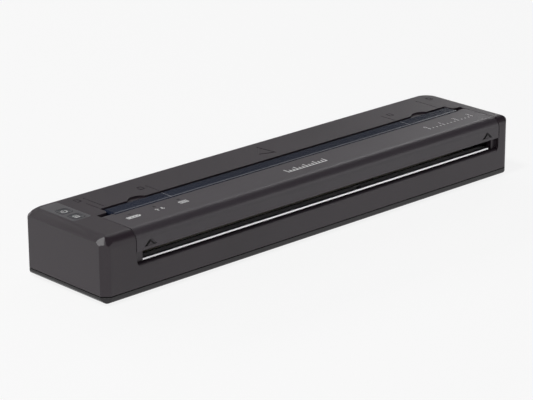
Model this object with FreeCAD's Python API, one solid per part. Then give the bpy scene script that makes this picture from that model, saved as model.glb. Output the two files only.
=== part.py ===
"""A4 portable thermal printer with a hinged release cover.

Millimetres. X runs along the printer, the paper slot faces -Y and +Z is up.
The origin is on the table, under the middle of the printer.
"""
import FreeCAD, Part
import math
import os

# Overall size, closed and standing on its feet
length = 255.0
depth = 55.0
height = 30.0

# Moulded walls and the fits between pieces
wall = 2.0
seam_gap = 0.4
fit_gap = 0.15
touch_gap = 0.3
running_gap = 0.05
overrun = 10.0

# Outer form of the casing
corner_chamfer = 3.2
chamfer_blend = 1.2
front_corner = 2.6
rear_corner = 8.0
front_roll = 5.0
top_roll = 2.4
band_radius = 7.9
band_run = 5.5
facet_back = 3.7
rear_facet_back = 3.2
facet_slope = 1.0
facet_turns = (35, 55, 75)

# Base
foot_height = 0.8
seam_height = 3.7
base_bevel = 1.6
base_roll = 1.2
base_floor = 1.6
label_half_share = 0.27
label_setback = 8.5
label_width = 15.0
label_depth = 0.3
lip_thickness = 1.2
lip_rise = 1.9

# Release cover
cover_left_margin = 18.1
cover_right_margin = 6.9
cover_wall = 1.8
cover_front_height = 9.9
cover_depth = 25.8
cover_hinge_drop = 3.6
arm_front_reach = 3.6
hinge_pin_radius = 1.2
hinge_pin_grip = 3.4

# Paper slot in its shallow recess
slot_left_margin = 22.8
slot_right_margin = 10.1
lip_height = 14.85
lip_roll = 2.0
recess_corner = 3.3
slot_block_depth = 3.0
slot_block_width = 3.1

# Exit guide flap and the exit chute behind it
flap_left_margin = 24.7
flap_right_margin = 11.9
flap_overlap = 3.8
flap_width = 8.5
flap_knuckle = 1.6
flap_bevel = 0.7
flap_corner = 2.6
flap_pin_radius = 0.7
flap_pin_grip = 1.8
chute_gap = 1.4
chute_wall = 1.5
well_corner = 2.4
inner_wall_foot = 7.5

# Platen roller
platen_set_back = 18.3
platen_z = 17.2
platen_radius = 5.0
platen_core_radius = 2.5
journal_radius = 1.5
bush_radius = 3.0
roller_left_margin = 25.7
roller_right_margin = 12.9
journal_overhang = 0.3

# Steel sheet frames
sheet = 1.0
chassis_set_back = 12.7
chassis_depth = 18.3
chassis_top = 20.6
chassis_lift = 1.2
bracket_height = 23.6
bracket_reach = 5.0
bracket_depth = 7.7
ear_margin = 1.4

# Gears
gear_module = 0.5
addendum = 0.5
dedendum = 0.62
backlash = 0.16
flank_degrees = 22.0
platen_teeth = 18
small_teeth = 12
large_teeth = 24
pinion_teeth = 10
gear_width = 2.4
wheel_width = 2.2
hub_radius = 1.7
stud_radius = 1.0
gear_plate_margin = 3.0

# Motor
motor_radius = 8.0
motor_height = 13.9
motor_length = 8.4
motor_flange = 0.8
motor_ear_reach = 2.6
shaft_radius = 0.75
shaft_depth = 5.0

# Print head, set out from its line of contact with the platen
nip_degrees = -60.0
head_gap = 0.3
ceramic_thickness = 0.95
ceramic_half_width = 4.4
sink_thickness = 3.3
sink_front_reach = 7.5
sink_back_reach = 6.0
head_left_margin = 25.6
head_right_margin = 12.8
head_pin_setback = 1.6
head_pin_grip = 5.0
driver_cover_width = 3.4
driver_cover_thickness = 1.1
connector_length = 30.0
connector_width = 4.0
connector_height = 2.4
spring_radius = 1.6
spring_wire = 0.35
spring_turns = 4.5
spring_reach = 4.4
spring_pad_radius = 2.1
spring_pad_height = 9.4
spring_shares = (-0.627, 0.044, 0.714)

# Paper guides and tear bar
guide_height = 15.1
guide_back_reach = 3.6
guide_flat = 7.5
guide_fall = 3.2
guide_thickness = 1.5
bar_width = 2.1
bar_thickness = 0.5
bar_right_margin = 11.6
bar_rise = 0.35
bar_slope = 0.35
rib_thickness = 1.5
rib_run = 3.4
guide_rib_shares = (-0.72, -0.533, -0.157, 0.157, 0.533, 0.69)
liner_flat = 4.4
liner_drop = 0.3
liner_tip = 16.6
liner_wall = 1.5
liner_rib_shares = (-0.4, -0.141, 0.173, 0.486, 0.769)
liner_rib_gap = 3.4
liner_web_drop = 3.6

# Battery, its bay and its door
pack_left_margin = 42.7
pack_right_margin = 15.3
pack_rear_margin = 2.7
pack_height = 18.6
pack_corner_share = 0.32
pack_lift = 0.3
door_thickness = 1.5
door_knuckle = 0.75
door_pin_radius = 0.5
door_pin_grip = 1.5
door_edge_gap = 0.3
finger_radius = 6.0
finger_depth = 0.8
bay_wall = 1.5
bay_wall_drop = 7.4
blade_width = 2.0
blade_thickness = 0.4
blade_height = 6.0
blade_pitch_share = 0.226
blade_count = 4

# Circuit boards and what is on them
board_thickness = 1.6
board_drop = 5.4
board_left_margin = 19.1
board_length_share = 0.543
board_gap = 3.6
board_rear_margin = 2.7
post_radius = 2.0
usb_width = 9.0
usb_height = 3.2
usb_depth = 7.0
usb_margin = 25.0
usb_shell = 0.4
usb_tongue = 0.7
jack_side = 8.6
jack_depth = 9.4
jack_margin = 35.5
jack_bore = 2.75
jack_pin_radius = 0.85
port_gap = 0.25
chip_shares = (
    (0.277, 0.18, 0.065, 0.536),
    (0.422, 0.387, 0.05, 0.357),
    (0.523, 0.238, 0.072, 0.298),
    (0.797, 0.298, 0.087, 0.387),
)
chip_height = 1.4
radio_place_share = 0.61
radio_length_share = 0.1155
radio_width_share = 0.714
radio_height = 1.9
key_board_thickness = 1.0
key_post_radius = 1.0

# Control panel and keys
panel_left_margin = 6.1
panel_width = 10.2
panel_rear_margin = 3.0
panel_length = 24.6
panel_corner = 1.6
panel_plate = 1.0
panel_collar = 1.6
panel_ledge = 0.4
key_side = 6.4
key_corner = 1.4
power_place = 13.1
feed_place = 4.6
key_gap = 0.18
key_flange = 0.4
key_flange_thickness = 0.7
key_travel = 0.4
key_crown = 0.15
switch_side = 4.5
switch_height = 0.35
stem_radius = 1.1

# Indicator lights
light_margins = (28.9, 43.1, 56.7)
light_set_back = 17.6
light_radius = 0.75
light_board_drop = 3.7
light_board_width = 5.0
light_board_margin = 4.2
light_post_radius = 1.2
lens_recess = 0.15

# Paper sensor and cover switch
sensor_share = 0.235
sensor_width = 4.0
sensor_length = 3.0
sensor_board_width = 14.0
sensor_recess = 0.4
micro_length = 8.0
micro_width = 2.4
micro_height = 6.0
micro_set_back = 15.5
plunger_radius = 0.6
plunger_gap = 0.25

# Fasteners
screw_radius = 0.85
screw_hole_radius = 0.9
screw_head_radius = 1.8
screw_head_height = 0.9
screw_length = 10.0
boss_radius = 2.2
boss_foot = 6.6
low_boss_top = 12.6
casing_screw_margin = 17.0
casing_screw_inset = 4.4
front_screw_shares = (-0.353, 0.353, 0.816)
right_screw_margin = 9.5
right_screw_share = 0.4
chassis_screw_shares = (-0.722, -0.235, 0.329, 0.816)
chassis_screw_set_back = 23.9
board_screw_shares = ((0.07, 0.155), (0.335, 0.833), (0.509, 0.833), (0.971, 0.155))
cover_screw_margin = 10.5
cover_screw_shares = (-0.22, 0.322)
cover_screw_set_back = 8.5
small_screw_radius = 0.7
small_head_radius = 1.4
small_head_height = 0.6
small_screw_length = 3.0
cover_boss_radius = 1.9

# Feet
foot_radius = 3.4
foot_recess = 0.6
foot_end_margin = 9.9
foot_side_margin = 7.9

# Marks moulded into the casing and the cover
mark_depth = 0.25
mark_width = 0.4
arrow_depth = 0.4
arrow_half = 3.6
arrow_rise = 3.3
arrow_lift = 1.4
arrow_left_margin = 7.7
arrow_right_margin = 8.3
scallop_length = 10.6
scallop_width = 2.6
scallop_depth = 0.9
scallop_shares = (-0.648, 0.766)
width_line_shares = (-0.781, -0.808, -0.54, 0.642, 0.881)
width_line_ends = ((21.5, 6.7), (22.6, 13.2), (22.1, 12.9), (22.1, 12.9), (21.9, 6.6))
page_mark_shares = (-0.813, -0.569, 0.679, 0.941)
page_mark_margins = (8.1, 14.1, 14.3, 9.1)
page_mark_width = 2.6
page_mark_height = 3.4
centre_mark = ((4.9, 6.4), (6.3, 18.8), (-2.8, 15.2))

# Places worked out from the sizes above
half_length = length / 2
half_depth = depth / 2
cover_left = -half_length + cover_left_margin
cover_right = half_length - cover_right_margin
cover_edge_height = height - cover_front_height
cover_rear = -half_depth + cover_depth
slot_left = -half_length + slot_left_margin
slot_right = half_length - slot_right_margin
flap_left = -half_length + flap_left_margin
flap_right = half_length - flap_right_margin
flap_front = cover_rear - flap_overlap
flap_rear = flap_front + flap_width
chute_rear = flap_rear + chute_gap
platen_y = -half_depth + platen_set_back
roller_left = -half_length + roller_left_margin
roller_right = half_length - roller_right_margin
chassis_front = -half_depth + chassis_set_back
chassis_back = chassis_front + chassis_depth
bracket_front = platen_y - bracket_reach
bracket_back = bracket_front + bracket_depth
head_left = -half_length + head_left_margin
head_right = half_length - head_right_margin
spring_places = [half_length * share for share in spring_shares]
guide_back = platen_y - guide_back_reach
guide_bend = -half_depth + guide_flat
guide_ribs = [half_length * share for share in guide_rib_shares]
bar_right = half_length - bar_right_margin
liner_ribs = [half_length * share for share in liner_rib_shares]
liner_rib_rear = flap_rear - liner_rib_gap
liner_web_height = height - liner_web_drop
light_places = [margin - half_length for margin in light_margins]
light_y = -half_depth + light_set_back
light_board_top = height - light_board_drop
sensor_x = half_length * sensor_share
micro_y = -half_depth + micro_set_back
foot_x = half_length - foot_end_margin
foot_y = half_depth - foot_side_margin
base_bottom = foot_height
base_top = seam_height - seam_gap / 2
casing_bottom = seam_height + seam_gap / 2
floor_top = base_bottom + base_floor
lip_top = base_top + lip_rise
ceiling = height - wall
cover_ceiling = height - cover_wall
hinge_y = cover_rear - cover_hinge_drop
hinge_z = height - cover_hinge_drop
flap_axis_y = flap_front + flap_knuckle
flap_axis_z = height - flap_knuckle
cover_skin_rear = flap_front - touch_gap
well_left = cover_left - seam_gap
well_right = cover_right + seam_gap
well_rear = cover_rear + seam_gap
well_floor = cover_edge_height - touch_gap
arm_left_inner = flap_left - touch_gap
arm_right_inner = flap_right + touch_gap
arm_bottom = hinge_z - cover_hinge_drop
arm_front = hinge_y - arm_front_reach
front_inner = -half_depth + wall

# Side plates, bracket ears and bushes along the platen
ear_left = roller_left - touch_gap - sheet
ear_right = roller_right + touch_gap
plate_left = ear_left - touch_gap - sheet
plate_right = arm_right_inner + touch_gap
bush_left = plate_left
bush_right = plate_right + sheet
platen_gear_right = plate_left - touch_gap
platen_gear_left = platen_gear_right - gear_width
journal_right = bush_right + journal_overhang
chassis_bottom = floor_top + chassis_lift
chassis_floor = chassis_bottom + sheet

# The small wheel lies where the cover's swing pulls the teeth straight apart
platen_pitch = gear_module * platen_teeth / 2
small_pitch = gear_module * small_teeth / 2
large_pitch = gear_module * large_teeth / 2
pinion_pitch = gear_module * pinion_teeth / 2
swing_y = platen_y - hinge_y
swing_z = platen_z - hinge_z
swing_radius = math.hypot(swing_y, swing_z)
mesh_angle = math.atan2(swing_z, swing_y) + math.acos(-platen_pitch / swing_radius)
reduction_y = platen_y + (platen_pitch + small_pitch) * math.cos(mesh_angle)
reduction_z = platen_z + (platen_pitch + small_pitch) * math.sin(mesh_angle)
motor_drop = motor_height - reduction_z
motor_y = reduction_y - math.sqrt((large_pitch + pinion_pitch) ** 2 - motor_drop ** 2)
motor_z = motor_height
motor_angle = math.atan2(motor_z - reduction_z, motor_y - reduction_y)
wheel_right = well_left - wall - touch_gap
wheel_left = wheel_right - wheel_width
gear_plate_right = wheel_left - touch_gap
gear_plate_left = gear_plate_right - sheet
motor_front = gear_plate_left - motor_flange

# Contact line of the head: "along" runs up the head, "out" runs away from the platen
out_y = math.cos(math.radians(nip_degrees))
out_z = math.sin(math.radians(nip_degrees))
along_y = -out_z
along_z = out_y
nip_y = platen_y + platen_radius * out_y
nip_z = platen_z + platen_radius * out_z
sink_face = head_gap + ceramic_thickness
sink_back = sink_face + sink_thickness
head_pin_along = head_pin_setback - sink_front_reach
head_pin_out = (sink_face + sink_back) / 2

# Battery bay and boards
pack_left = -half_length + pack_left_margin
pack_right = half_length - pack_right_margin
pack_front = chute_rear + chute_wall + touch_gap
pack_back = half_depth - pack_rear_margin
pack_width = pack_back - pack_front
pack_bottom = base_bottom + door_thickness + pack_lift
door_left = pack_left - door_edge_gap
door_right = pack_right + door_edge_gap
door_front = pack_front + door_edge_gap
door_middle = (door_left + door_right) / 2
door_axis_y = pack_back - door_knuckle
door_axis_z = base_bottom + door_knuckle
bay_wall_top = height - bay_wall_drop
board_height = height - board_drop
board_top = board_height + board_thickness
board_left = -half_length + board_left_margin
board_length = length * board_length_share
board_right = board_left + board_length
board_front = chute_rear + board_gap
board_back = half_depth - board_rear_margin
board_width = board_back - board_front
usb_x = -half_length + usb_margin
jack_x = -half_length + jack_margin
guide_underside = guide_height - guide_thickness - bar_thickness
panel_left = -half_length + panel_left_margin
panel_right = panel_left + panel_width
panel_back = half_depth - panel_rear_margin
panel_front = panel_back - panel_length
key_x = (panel_left + panel_right) / 2
power_y = panel_front + power_place
feed_y = panel_front + feed_place
key_board_bottom = board_height
key_board_top = key_board_bottom + key_board_thickness
collar_bottom = height - panel_plate - panel_collar
key_foot = collar_bottom - running_gap - key_flange_thickness
stem_top = key_foot - key_travel - running_gap

# Screws
screw_front = casing_screw_inset - half_depth
screw_left = casing_screw_margin - half_length
casing_screws_at = [(screw_left, screw_front), (screw_left, -screw_front)]
casing_screws_at += [(half_length * share, screw_front) for share in front_screw_shares]
casing_screws_at += [(half_length - right_screw_margin, half_depth * right_screw_share)]
chassis_screw_y = -half_depth + chassis_screw_set_back
chassis_screws_at = [(half_length * share, chassis_screw_y) for share in chassis_screw_shares]
board_screws_at = [(board_left + board_length * along, board_front + board_width * across)
                   for along, across in board_screw_shares]
cover_screw_y = -half_depth + cover_screw_set_back
cover_screws_at = [(cover_left + cover_screw_margin, cover_screw_y)]
cover_screws_at += [(cover_right - cover_screw_margin, cover_screw_y)]
cover_screws_at += [(half_length * share, cover_screw_y) for share in cover_screw_shares]

X = FreeCAD.Vector(1, 0, 0)
Y = FreeCAD.Vector(0, 1, 0)
Z = FreeCAD.Vector(0, 0, 1)


def spot_yz(u, v):
    return FreeCAD.Vector(0, u, v)


def spot_xz(u, v):
    return FreeCAD.Vector(u, 0, v)


def spot_xy(u, v):
    return FreeCAD.Vector(u, v, 0)


def box(x0, x1, y0, y1, z0, z1):
    return Part.makeBox(x1 - x0, y1 - y0, z1 - z0, FreeCAD.Vector(x0, y0, z0))


def rod_x(x0, x1, y, z, radius):
    return Part.makeCylinder(radius, x1 - x0, FreeCAD.Vector(x0, y, z), X)


def rod_y(x, y0, y1, z, radius):
    return Part.makeCylinder(radius, y1 - y0, FreeCAD.Vector(x, y0, z), Y)


def rod_z(x, y, z0, z1, radius):
    return Part.makeCylinder(radius, z1 - z0, FreeCAD.Vector(x, y, z0), Z)


def fuse(shapes):
    return shapes[0].multiFuse(shapes[1:]).removeSplitter()


def cut(shape, tools):
    return shape.cut(Part.makeCompound(tools)).removeSplitter()


def outline(points, radii, spot):
    """A closed face through the points, each corner rounded by its own radius."""
    edges = []
    corners = [spot(u, v) for u, v in points]
    count = len(corners)
    ends = []
    for i, corner in enumerate(corners):
        to_last = (corners[i - 1] - corner).normalize()
        to_next = (corners[(i + 1) % count] - corner).normalize()
        half = to_last.getAngle(to_next) / 2
        reach = radii[i] / math.tan(half)
        start = corner + to_last * reach
        end = corner + to_next * reach
        ends.append((start, end))
        if radii[i] > 0:
            middle_way = (to_last + to_next).normalize()
            middle = corner + middle_way * (radii[i] / math.sin(half) - radii[i])
            edges.append(Part.Arc(start, middle, end).toShape())
    lines = []
    for i in range(count):
        start = ends[i][1]
        end = ends[(i + 1) % count][0]
        if not start.isEqual(end, running_gap / overrun):
            lines.append(Part.LineSegment(start, end).toShape())
    wire = Part.Wire(Part.__sortEdges__(edges + lines))
    return Part.Face(wire)


def polygon(points, spot):
    corners = [spot(u, v) for u, v in points]
    return Part.Face(Part.makePolygon(corners + corners[:1]))


def prism_x(points, x0, x1):
    face = polygon(points, spot_yz)
    face.translate(X * x0)
    return face.extrude(X * (x1 - x0))


def prism_y(points, y0, y1):
    face = polygon(points, spot_xz)
    face.translate(Y * y0)
    return face.extrude(Y * (y1 - y0))


def prism_z(points, z0, z1):
    face = polygon(points, spot_xy)
    face.translate(Z * z0)
    return face.extrude(Z * (z1 - z0))


def block_z(x0, x1, y0, y1, z0, z1, radius):
    """A box whose four upright corners are rounded."""
    points = [(x0, y0), (x1, y0), (x1, y1), (x0, y1)]
    face = outline(points, [radius] * 4, spot_xy)
    face.translate(Z * z0)
    return face.extrude(Z * (z1 - z0))


def gear(teeth, x0, x1, y, z, tooth_angle, bore):
    """A spur gear along X with one tooth centred on tooth_angle."""
    pitch = gear_module * teeth / 2
    thick = math.pi * gear_module / 2 - backlash
    slope = math.tan(math.radians(flank_degrees))
    root = pitch - dedendum
    tip = pitch + addendum
    root_half = (thick / 2 + dedendum * slope) / root
    tip_half = (thick / 2 - addendum * slope) / tip
    points = []
    for i in range(teeth):
        middle = tooth_angle + 2 * math.pi * i / teeth
        for turn, radius in ((-root_half, root), (-tip_half, tip), (tip_half, tip), (root_half, root)):
            points.append((y + radius * math.cos(middle + turn), z + radius * math.sin(middle + turn)))
    return prism_x(points, x0, x1).cut(rod_x(x0 - overrun, x1 + overrun, y, z, bore))


def screw(x, y, top, bottom, head_radius, head_height, radius, head_up):
    """A screw along Z. Its head is at the top, or at the bottom if head_up is false."""
    if head_up:
        head = rod_z(x, y, top - head_height, top, head_radius)
    else:
        head = rod_z(x, y, bottom, bottom + head_height, head_radius)
    return fuse([head, rod_z(x, y, bottom, top, radius)])


def save(node, shape):
    solids = shape.Solids
    kept = solids[0] if len(solids) == 1 else Part.makeCompound(solids)
    sound = all(solid.isValid() and solid.Volume > 0 for solid in solids)
    kept.exportStep("parts/" + node + ".step")
    print(node, "solids", len(solids), "volume", round(kept.Volume, 1), "sound", sound)


# Outer form, which the casing and the cover are both cut from
def form(inset):
    low = -overrun
    band_turn = math.asin(band_run / band_radius)
    band_leg = band_radius * math.tan(band_turn / 2)
    band_edge = height - band_radius + band_radius * math.cos(band_turn)
    profile = [(-half_depth, low), (half_depth, low), (half_depth, height), (-half_depth, height)]
    plan = [
        (-half_length + corner_chamfer, -half_depth),
        (length, -half_depth),
        (length, half_depth),
        (-half_length + corner_chamfer, half_depth),
        (-half_length, half_depth - corner_chamfer),
        (-half_length, -half_depth + corner_chamfer),
    ]
    side = [
        (-half_length, low),
        (length, low),
        (length, height),
        (-half_length + band_run - band_leg, height),
        (-half_length, band_edge),
    ]
    sections = [
        (outline(profile, [0, 0, 0, front_roll], spot_yz), X * -length, X * (2 * length)),
        (outline(plan, [chamfer_blend, 0, 0, chamfer_blend, 0, 0], spot_xy), Z * low, Z * (height - 2 * low)),
        (outline(side, [0, 0, 0, band_radius, 0], spot_xz), Y * -depth, Y * (2 * depth)),
    ]
    body = right_end_form(inset)
    for face, start, run in sections:
        inner = face.makeOffset2D(-inset, 2) if inset > 0 else face
        inner.translate(start)
        body = body.common(inner.extrude(run))
    return body


def right_end_form(inset):
    """A block with the rounded corners of the right end. The outer one has rolled edges above and below."""
    front = -half_depth
    corners = [(-length, front), (half_length, front), (half_length, -front), (-length, -front)]
    face = outline(corners, [0, front_corner, rear_corner, 0], spot_xy)
    if inset > 0:
        inner = face.makeOffset2D(-inset, 2)
        return inner.extrude(Z * (height - inset))
    face.translate(Z * base_bottom)
    block = face.extrude(Z * (height - base_bottom))
    for level, radius in ((height, top_roll), (base_bottom, base_roll)):
        rim = [edge for edge in block.Edges
               if abs(edge.BoundBox.ZMin - level) + abs(edge.BoundBox.ZMax - level) < running_gap
               and edge.BoundBox.XMax > -half_length]
        block = block.makeFillet(radius, rim)
    return block


def pare_corners(shape):
    """Cuts a fan of small flats above each of the two left chamfers. They meet in one point on the top."""
    drop = overrun * facet_slope
    points = [(0, height), (-overrun, height - drop), (-overrun, height + overrun), (0, height + overrun)]
    flats = []
    for side, back in ((-1, facet_back), (1, rear_facet_back)):
        for turn in facet_turns:
            flat = prism_y(points, -depth, depth)
            flat.rotate(FreeCAD.Vector(), Z, -side * turn)
            flat.translate(X * (back - half_length) + Y * (side * (half_depth - back)))
            flats.append(flat)
    return cut(shape, flats)


outer_form = pare_corners(form(0))
inner_form = form(wall)
cover_inner_form = form(cover_wall)


# Base
def base_cover():
    rim = outer_form.common(box(-length, length, -depth, depth, base_bottom, base_top))
    rim = bevel_left(rim)
    hollow = inner_form.common(box(-length, length, -depth, depth, floor_top, base_top + overrun))
    lip_outer = form(wall + fit_gap).common(box(-length, length, -depth, depth, floor_top, lip_top))
    lip_inner = form(wall + fit_gap + lip_thickness)
    lip = lip_outer.cut(lip_inner)
    lip = lip.cut(box(door_left - bay_wall, door_right + bay_wall, 0, depth, 0, height))
    band = inner_form.cut(lip_inner).common(box(-length, length, -depth, depth, floor_top, base_top))
    band = band.cut(box(door_left - bay_wall, door_right + bay_wall, 0, depth, 0, height))
    pieces = [rim.cut(hollow), lip, band]
    tools = []
    for x, y in casing_screws_at:
        pieces.append(rod_z(x, y, base_bottom, boss_foot, boss_radius))
        tools.append(rod_z(x, y, 0, height, screw_hole_radius + fit_gap))
        tools.append(rod_z(x, y, 0, base_bottom + screw_head_height + fit_gap, screw_head_radius + fit_gap))
    for x, y in chassis_screws_at:
        pieces.append(rod_z(x, y, floor_top, chassis_bottom, boss_radius))
        tools.append(rod_z(x, y, floor_top - fit_gap, height, small_screw_radius))
    pieces.append(cover_switch_post())
    for side_x in (-1, 1):
        for side_y in (-1, 1):
            foot_top = base_bottom + foot_recess
            tools.append(rod_z(side_x * foot_x, side_y * foot_y, 0, foot_top, foot_radius + running_gap))
    door_back = pack_back + door_edge_gap
    tools.append(box(door_left, door_right, door_front, door_back, 0, height))
    tools.append(rod_z(door_middle, door_front, 0, base_bottom + finger_depth, finger_radius))
    label_half = half_length * label_half_share
    label_front = -half_depth + label_setback
    label_back = label_front + label_width
    tools.append(box(-label_half, label_half, label_front, label_back, 0, base_bottom + label_depth))
    pin_reach = door_pin_grip + running_gap
    tools.append(rod_x(door_left - pin_reach, door_right + pin_reach, door_axis_y, door_axis_z,
                       door_pin_radius + running_gap))
    return cut(fuse(pieces), tools)


def bevel_left(shape):
    """Cuts the bevel along the left foot of the base."""
    left = [(-half_length, base_bottom + base_bevel), (-half_length, 0), (-half_length + base_bevel, 0),
            (-half_length + base_bevel, base_bottom)]
    return shape.cut(prism_y(left, -depth, depth))


def rubber_feet():
    feet = []
    for side_x in (-1, 1):
        for side_y in (-1, 1):
            top = base_bottom + foot_recess
            feet.append(rod_z(side_x * foot_x, side_y * foot_y, 0, top, foot_radius))
    return Part.makeCompound(feet)


# Upper casing
def upper_casing():
    above = box(-length, length, -depth, depth, casing_bottom, height + overrun)
    shell = outer_form.cut(inner_form).common(above)
    pieces = [shell] + casing_walls() + casing_bosses()
    body = fuse(pieces).cut(Part.makeCompound(well_tools() + slot_tools() + port_tools()))
    body = body.cut(Part.makeCompound(panel_tools()))
    return body.cut(Part.makeCompound(casing_marks())).removeSplitter()


def casing_walls():
    """Walls round the cover's well and the battery bay, and the blocks at the slot's ends."""
    walls = []
    for x0 in (well_left - wall, well_right):
        walls.append(box(x0, x0 + wall, -half_depth, chute_rear, well_floor, height))
    walls.append(box(well_left - wall, well_right + wall, chute_rear, chute_rear + chute_wall,
                     inner_wall_foot, height))
    block_back = front_inner + slot_block_depth
    block_left = well_left - slot_block_width
    walls.append(box(block_left, slot_left, -half_depth, block_back, inner_wall_foot, well_floor))
    walls.append(box(slot_right, well_right + wall, -half_depth, block_back, inner_wall_foot, well_floor))
    bay_back = half_depth
    for x0 in (pack_left - touch_gap - bay_wall, pack_right + touch_gap):
        walls.append(box(x0, x0 + bay_wall, chute_rear, bay_back, inner_wall_foot, bay_wall_top))
    inside = outer_form.common(box(-length, length, -depth, depth, casing_bottom, height))
    return [piece.common(inside) for piece in walls]


def casing_bosses():
    bosses = []
    for x, y in casing_screws_at:
        beside_wall = abs(y) > half_depth - wall - boss_radius - seam_gap
        top = low_boss_top if beside_wall else height
        bosses.append(rod_z(x, y, boss_foot, top, boss_radius))
        if beside_wall:
            edge = math.copysign(half_depth, y)
            half = boss_radius / 2
            bosses.append(box(x - half, x + half, min(y, edge), max(y, edge), boss_foot, top))
    for x, y in board_screws_at:
        bosses.append(rod_z(x, y, board_top, height, post_radius))
    for y in (feed_y, panel_back - key_side / 2):
        bosses.append(rod_z(panel_left - key_post_radius, y, key_board_top, height, key_post_radius))
    inside = outer_form.common(box(-length, length, -depth, depth, 0, height))
    return [piece.common(inside) for piece in bosses]


def well_tools():
    """The space that the cover and the exit chute take out of the casing."""
    tools = [box(well_left, well_right, -depth, well_rear, well_floor, height + overrun)]
    points = [(flap_left - seam_gap, -depth), (flap_right + seam_gap, -depth),
              (flap_right + seam_gap, chute_rear), (flap_left - seam_gap, chute_rear)]
    chute = outline(points, [0, 0, 0, 0], spot_xy)
    chute.translate(Z * well_floor)
    tools.append(chute.extrude(Z * (height + overrun)))
    for corner_x, side in ((flap_left - seam_gap, -1), (flap_right + seam_gap, 1)):
        centre_of_round = corner_x + side * well_corner
        square = box(min(corner_x, centre_of_round), max(corner_x, centre_of_round), well_rear - overrun,
                     well_rear + well_corner, well_floor, height + overrun)
        post = rod_z(centre_of_round, well_rear + well_corner, 0, height + overrun, well_corner)
        tools.append(square.cut(post))
    pin_radius = hinge_pin_radius + running_gap
    tools.append(rod_x(well_left - wall, well_left, hinge_y, hinge_z, pin_radius))
    tools.append(rod_x(well_right, well_right + wall, hinge_y, hinge_z, pin_radius))
    for x, y in casing_screws_at:
        tools.append(rod_z(x, y, 0, base_bottom + screw_length + fit_gap, screw_hole_radius))
    for x, y in board_screws_at:
        tools.append(rod_z(x, y, board_top, ceiling, small_screw_radius + running_gap))
    return tools


def slot_tools():
    """The shallow recess with its rolled lower edge, and the slot through its back."""
    recess_floor = -half_depth + lip_roll
    low = lip_height - lip_roll
    points = [(cover_left, low), (cover_right, low), (cover_right, well_floor), (cover_left, well_floor)]
    front = outline(points, [recess_corner, recess_corner, 0, 0], spot_xz)
    front.translate(Y * -depth)
    section = box(cover_left, cover_right, -depth, recess_floor, low, well_floor)
    section = section.cut(rod_x(cover_left, cover_right, recess_floor, low, lip_roll))
    recess = front.extrude(Y * depth).common(section)
    slot = box(slot_left, slot_right, -depth, front_inner + slot_block_depth, lip_height, well_floor)
    return [recess, slot]


def port_tools():
    usb_bottom = board_height - usb_height
    usb = outline(
        [(usb_x - usb_width / 2 - port_gap, usb_bottom - port_gap),
         (usb_x + usb_width / 2 + port_gap, usb_bottom - port_gap),
         (usb_x + usb_width / 2 + port_gap, board_height + port_gap),
         (usb_x - usb_width / 2 - port_gap, board_height + port_gap)],
        [usb_height / 2] * 4, spot_xz)
    jack_z = board_height - jack_side / 2
    return [usb.extrude(Y * depth), rod_y(jack_x, half_depth - wall, depth, jack_z, jack_bore + port_gap)]


def panel_tools():
    plate = block_z(panel_left - fit_gap, panel_right + fit_gap, panel_front - fit_gap, panel_back + fit_gap,
                    height - panel_plate, height + overrun, panel_corner + fit_gap)
    x0 = panel_left + panel_ledge
    x1 = panel_right - panel_ledge
    foot = ceiling - overrun / 2
    collar = block_z(x0, x1, panel_front + panel_ledge, panel_back - panel_ledge, foot, height,
                     panel_corner - panel_ledge)
    return [plate, collar]


def casing_marks():
    """Paper width lines, page marks, the centre arrow and the finger scallops at the chute's edge."""
    floor = height - mark_depth
    tools = []
    for share, (near, far) in zip(width_line_shares, width_line_ends):
        x = half_length * share
        tools.append(box(x - mark_width / 2, x + mark_width / 2, half_depth - near, half_depth - far, floor,
                         height + overrun))
    for share, margin in zip(page_mark_shares, page_mark_margins):
        tools.append(frame_mark(half_length * share, half_depth - margin, page_mark_width, page_mark_height))
    arrow = polygon([(x, half_depth - margin) for x, margin in centre_mark], spot_xy)
    ring = arrow.cut(arrow.makeOffset2D(-mark_width * 2))
    ring.translate(Z * floor)
    tools.append(ring.extrude(Z * overrun))
    for share in scallop_shares:
        x = half_length * share
        radius = (scallop_length ** 2 / 4 + scallop_width ** 2) / (2 * scallop_width)
        disc = rod_z(x, chute_rear + scallop_width - radius, height - scallop_depth, height + overrun, radius)
        behind = box(x - length, x + length, chute_rear - chute_wall, depth, 0, height + overrun)
        tools.append(disc.common(behind))
    return tools


def frame_mark(x, y, width, tall):
    floor = height - mark_depth
    outer = box(x - width / 2, x + width / 2, y - tall / 2, y + tall / 2, floor, height + overrun)
    inner = box(x - width / 2 + mark_width, x + width / 2 - mark_width, y - tall / 2 + mark_width,
                y + tall / 2 - mark_width, 0, height + overrun)
    return outer.cut(inner)


# Release cover
def release_cover():
    zone = box(cover_left, cover_right, -depth, cover_skin_rear, cover_edge_height, height + overrun)
    skin = outer_form.cut(cover_inner_form).common(zone)
    pieces = [skin]
    for x0, x1 in ((cover_left, cover_left + cover_wall), (cover_right - cover_wall, cover_right)):
        end = box(x0, x1, -depth, cover_skin_rear, cover_edge_height, height + overrun)
        pieces.append(outer_form.common(end))
    for x0, x1 in ((cover_left, arm_left_inner), (arm_right_inner, cover_right)):
        pieces.append(box(x0, x1, arm_front, hinge_y, arm_bottom, height))
        pieces.append(rod_x(x0, x1, hinge_y, hinge_z, cover_hinge_drop))
    inside = height - cover_wall / 2
    for x0, x1 in zip(light_places, light_places[1:]):
        pieces.append(rod_z((x0 + x1) / 2, light_y, light_board_top, inside, light_post_radius))
    for x, y in cover_screws_at:
        pieces.append(rod_z(x, y, liner_web_height, height - cover_wall / 2, cover_boss_radius))
    return cut(fuse(pieces), cover_tools())


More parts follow.
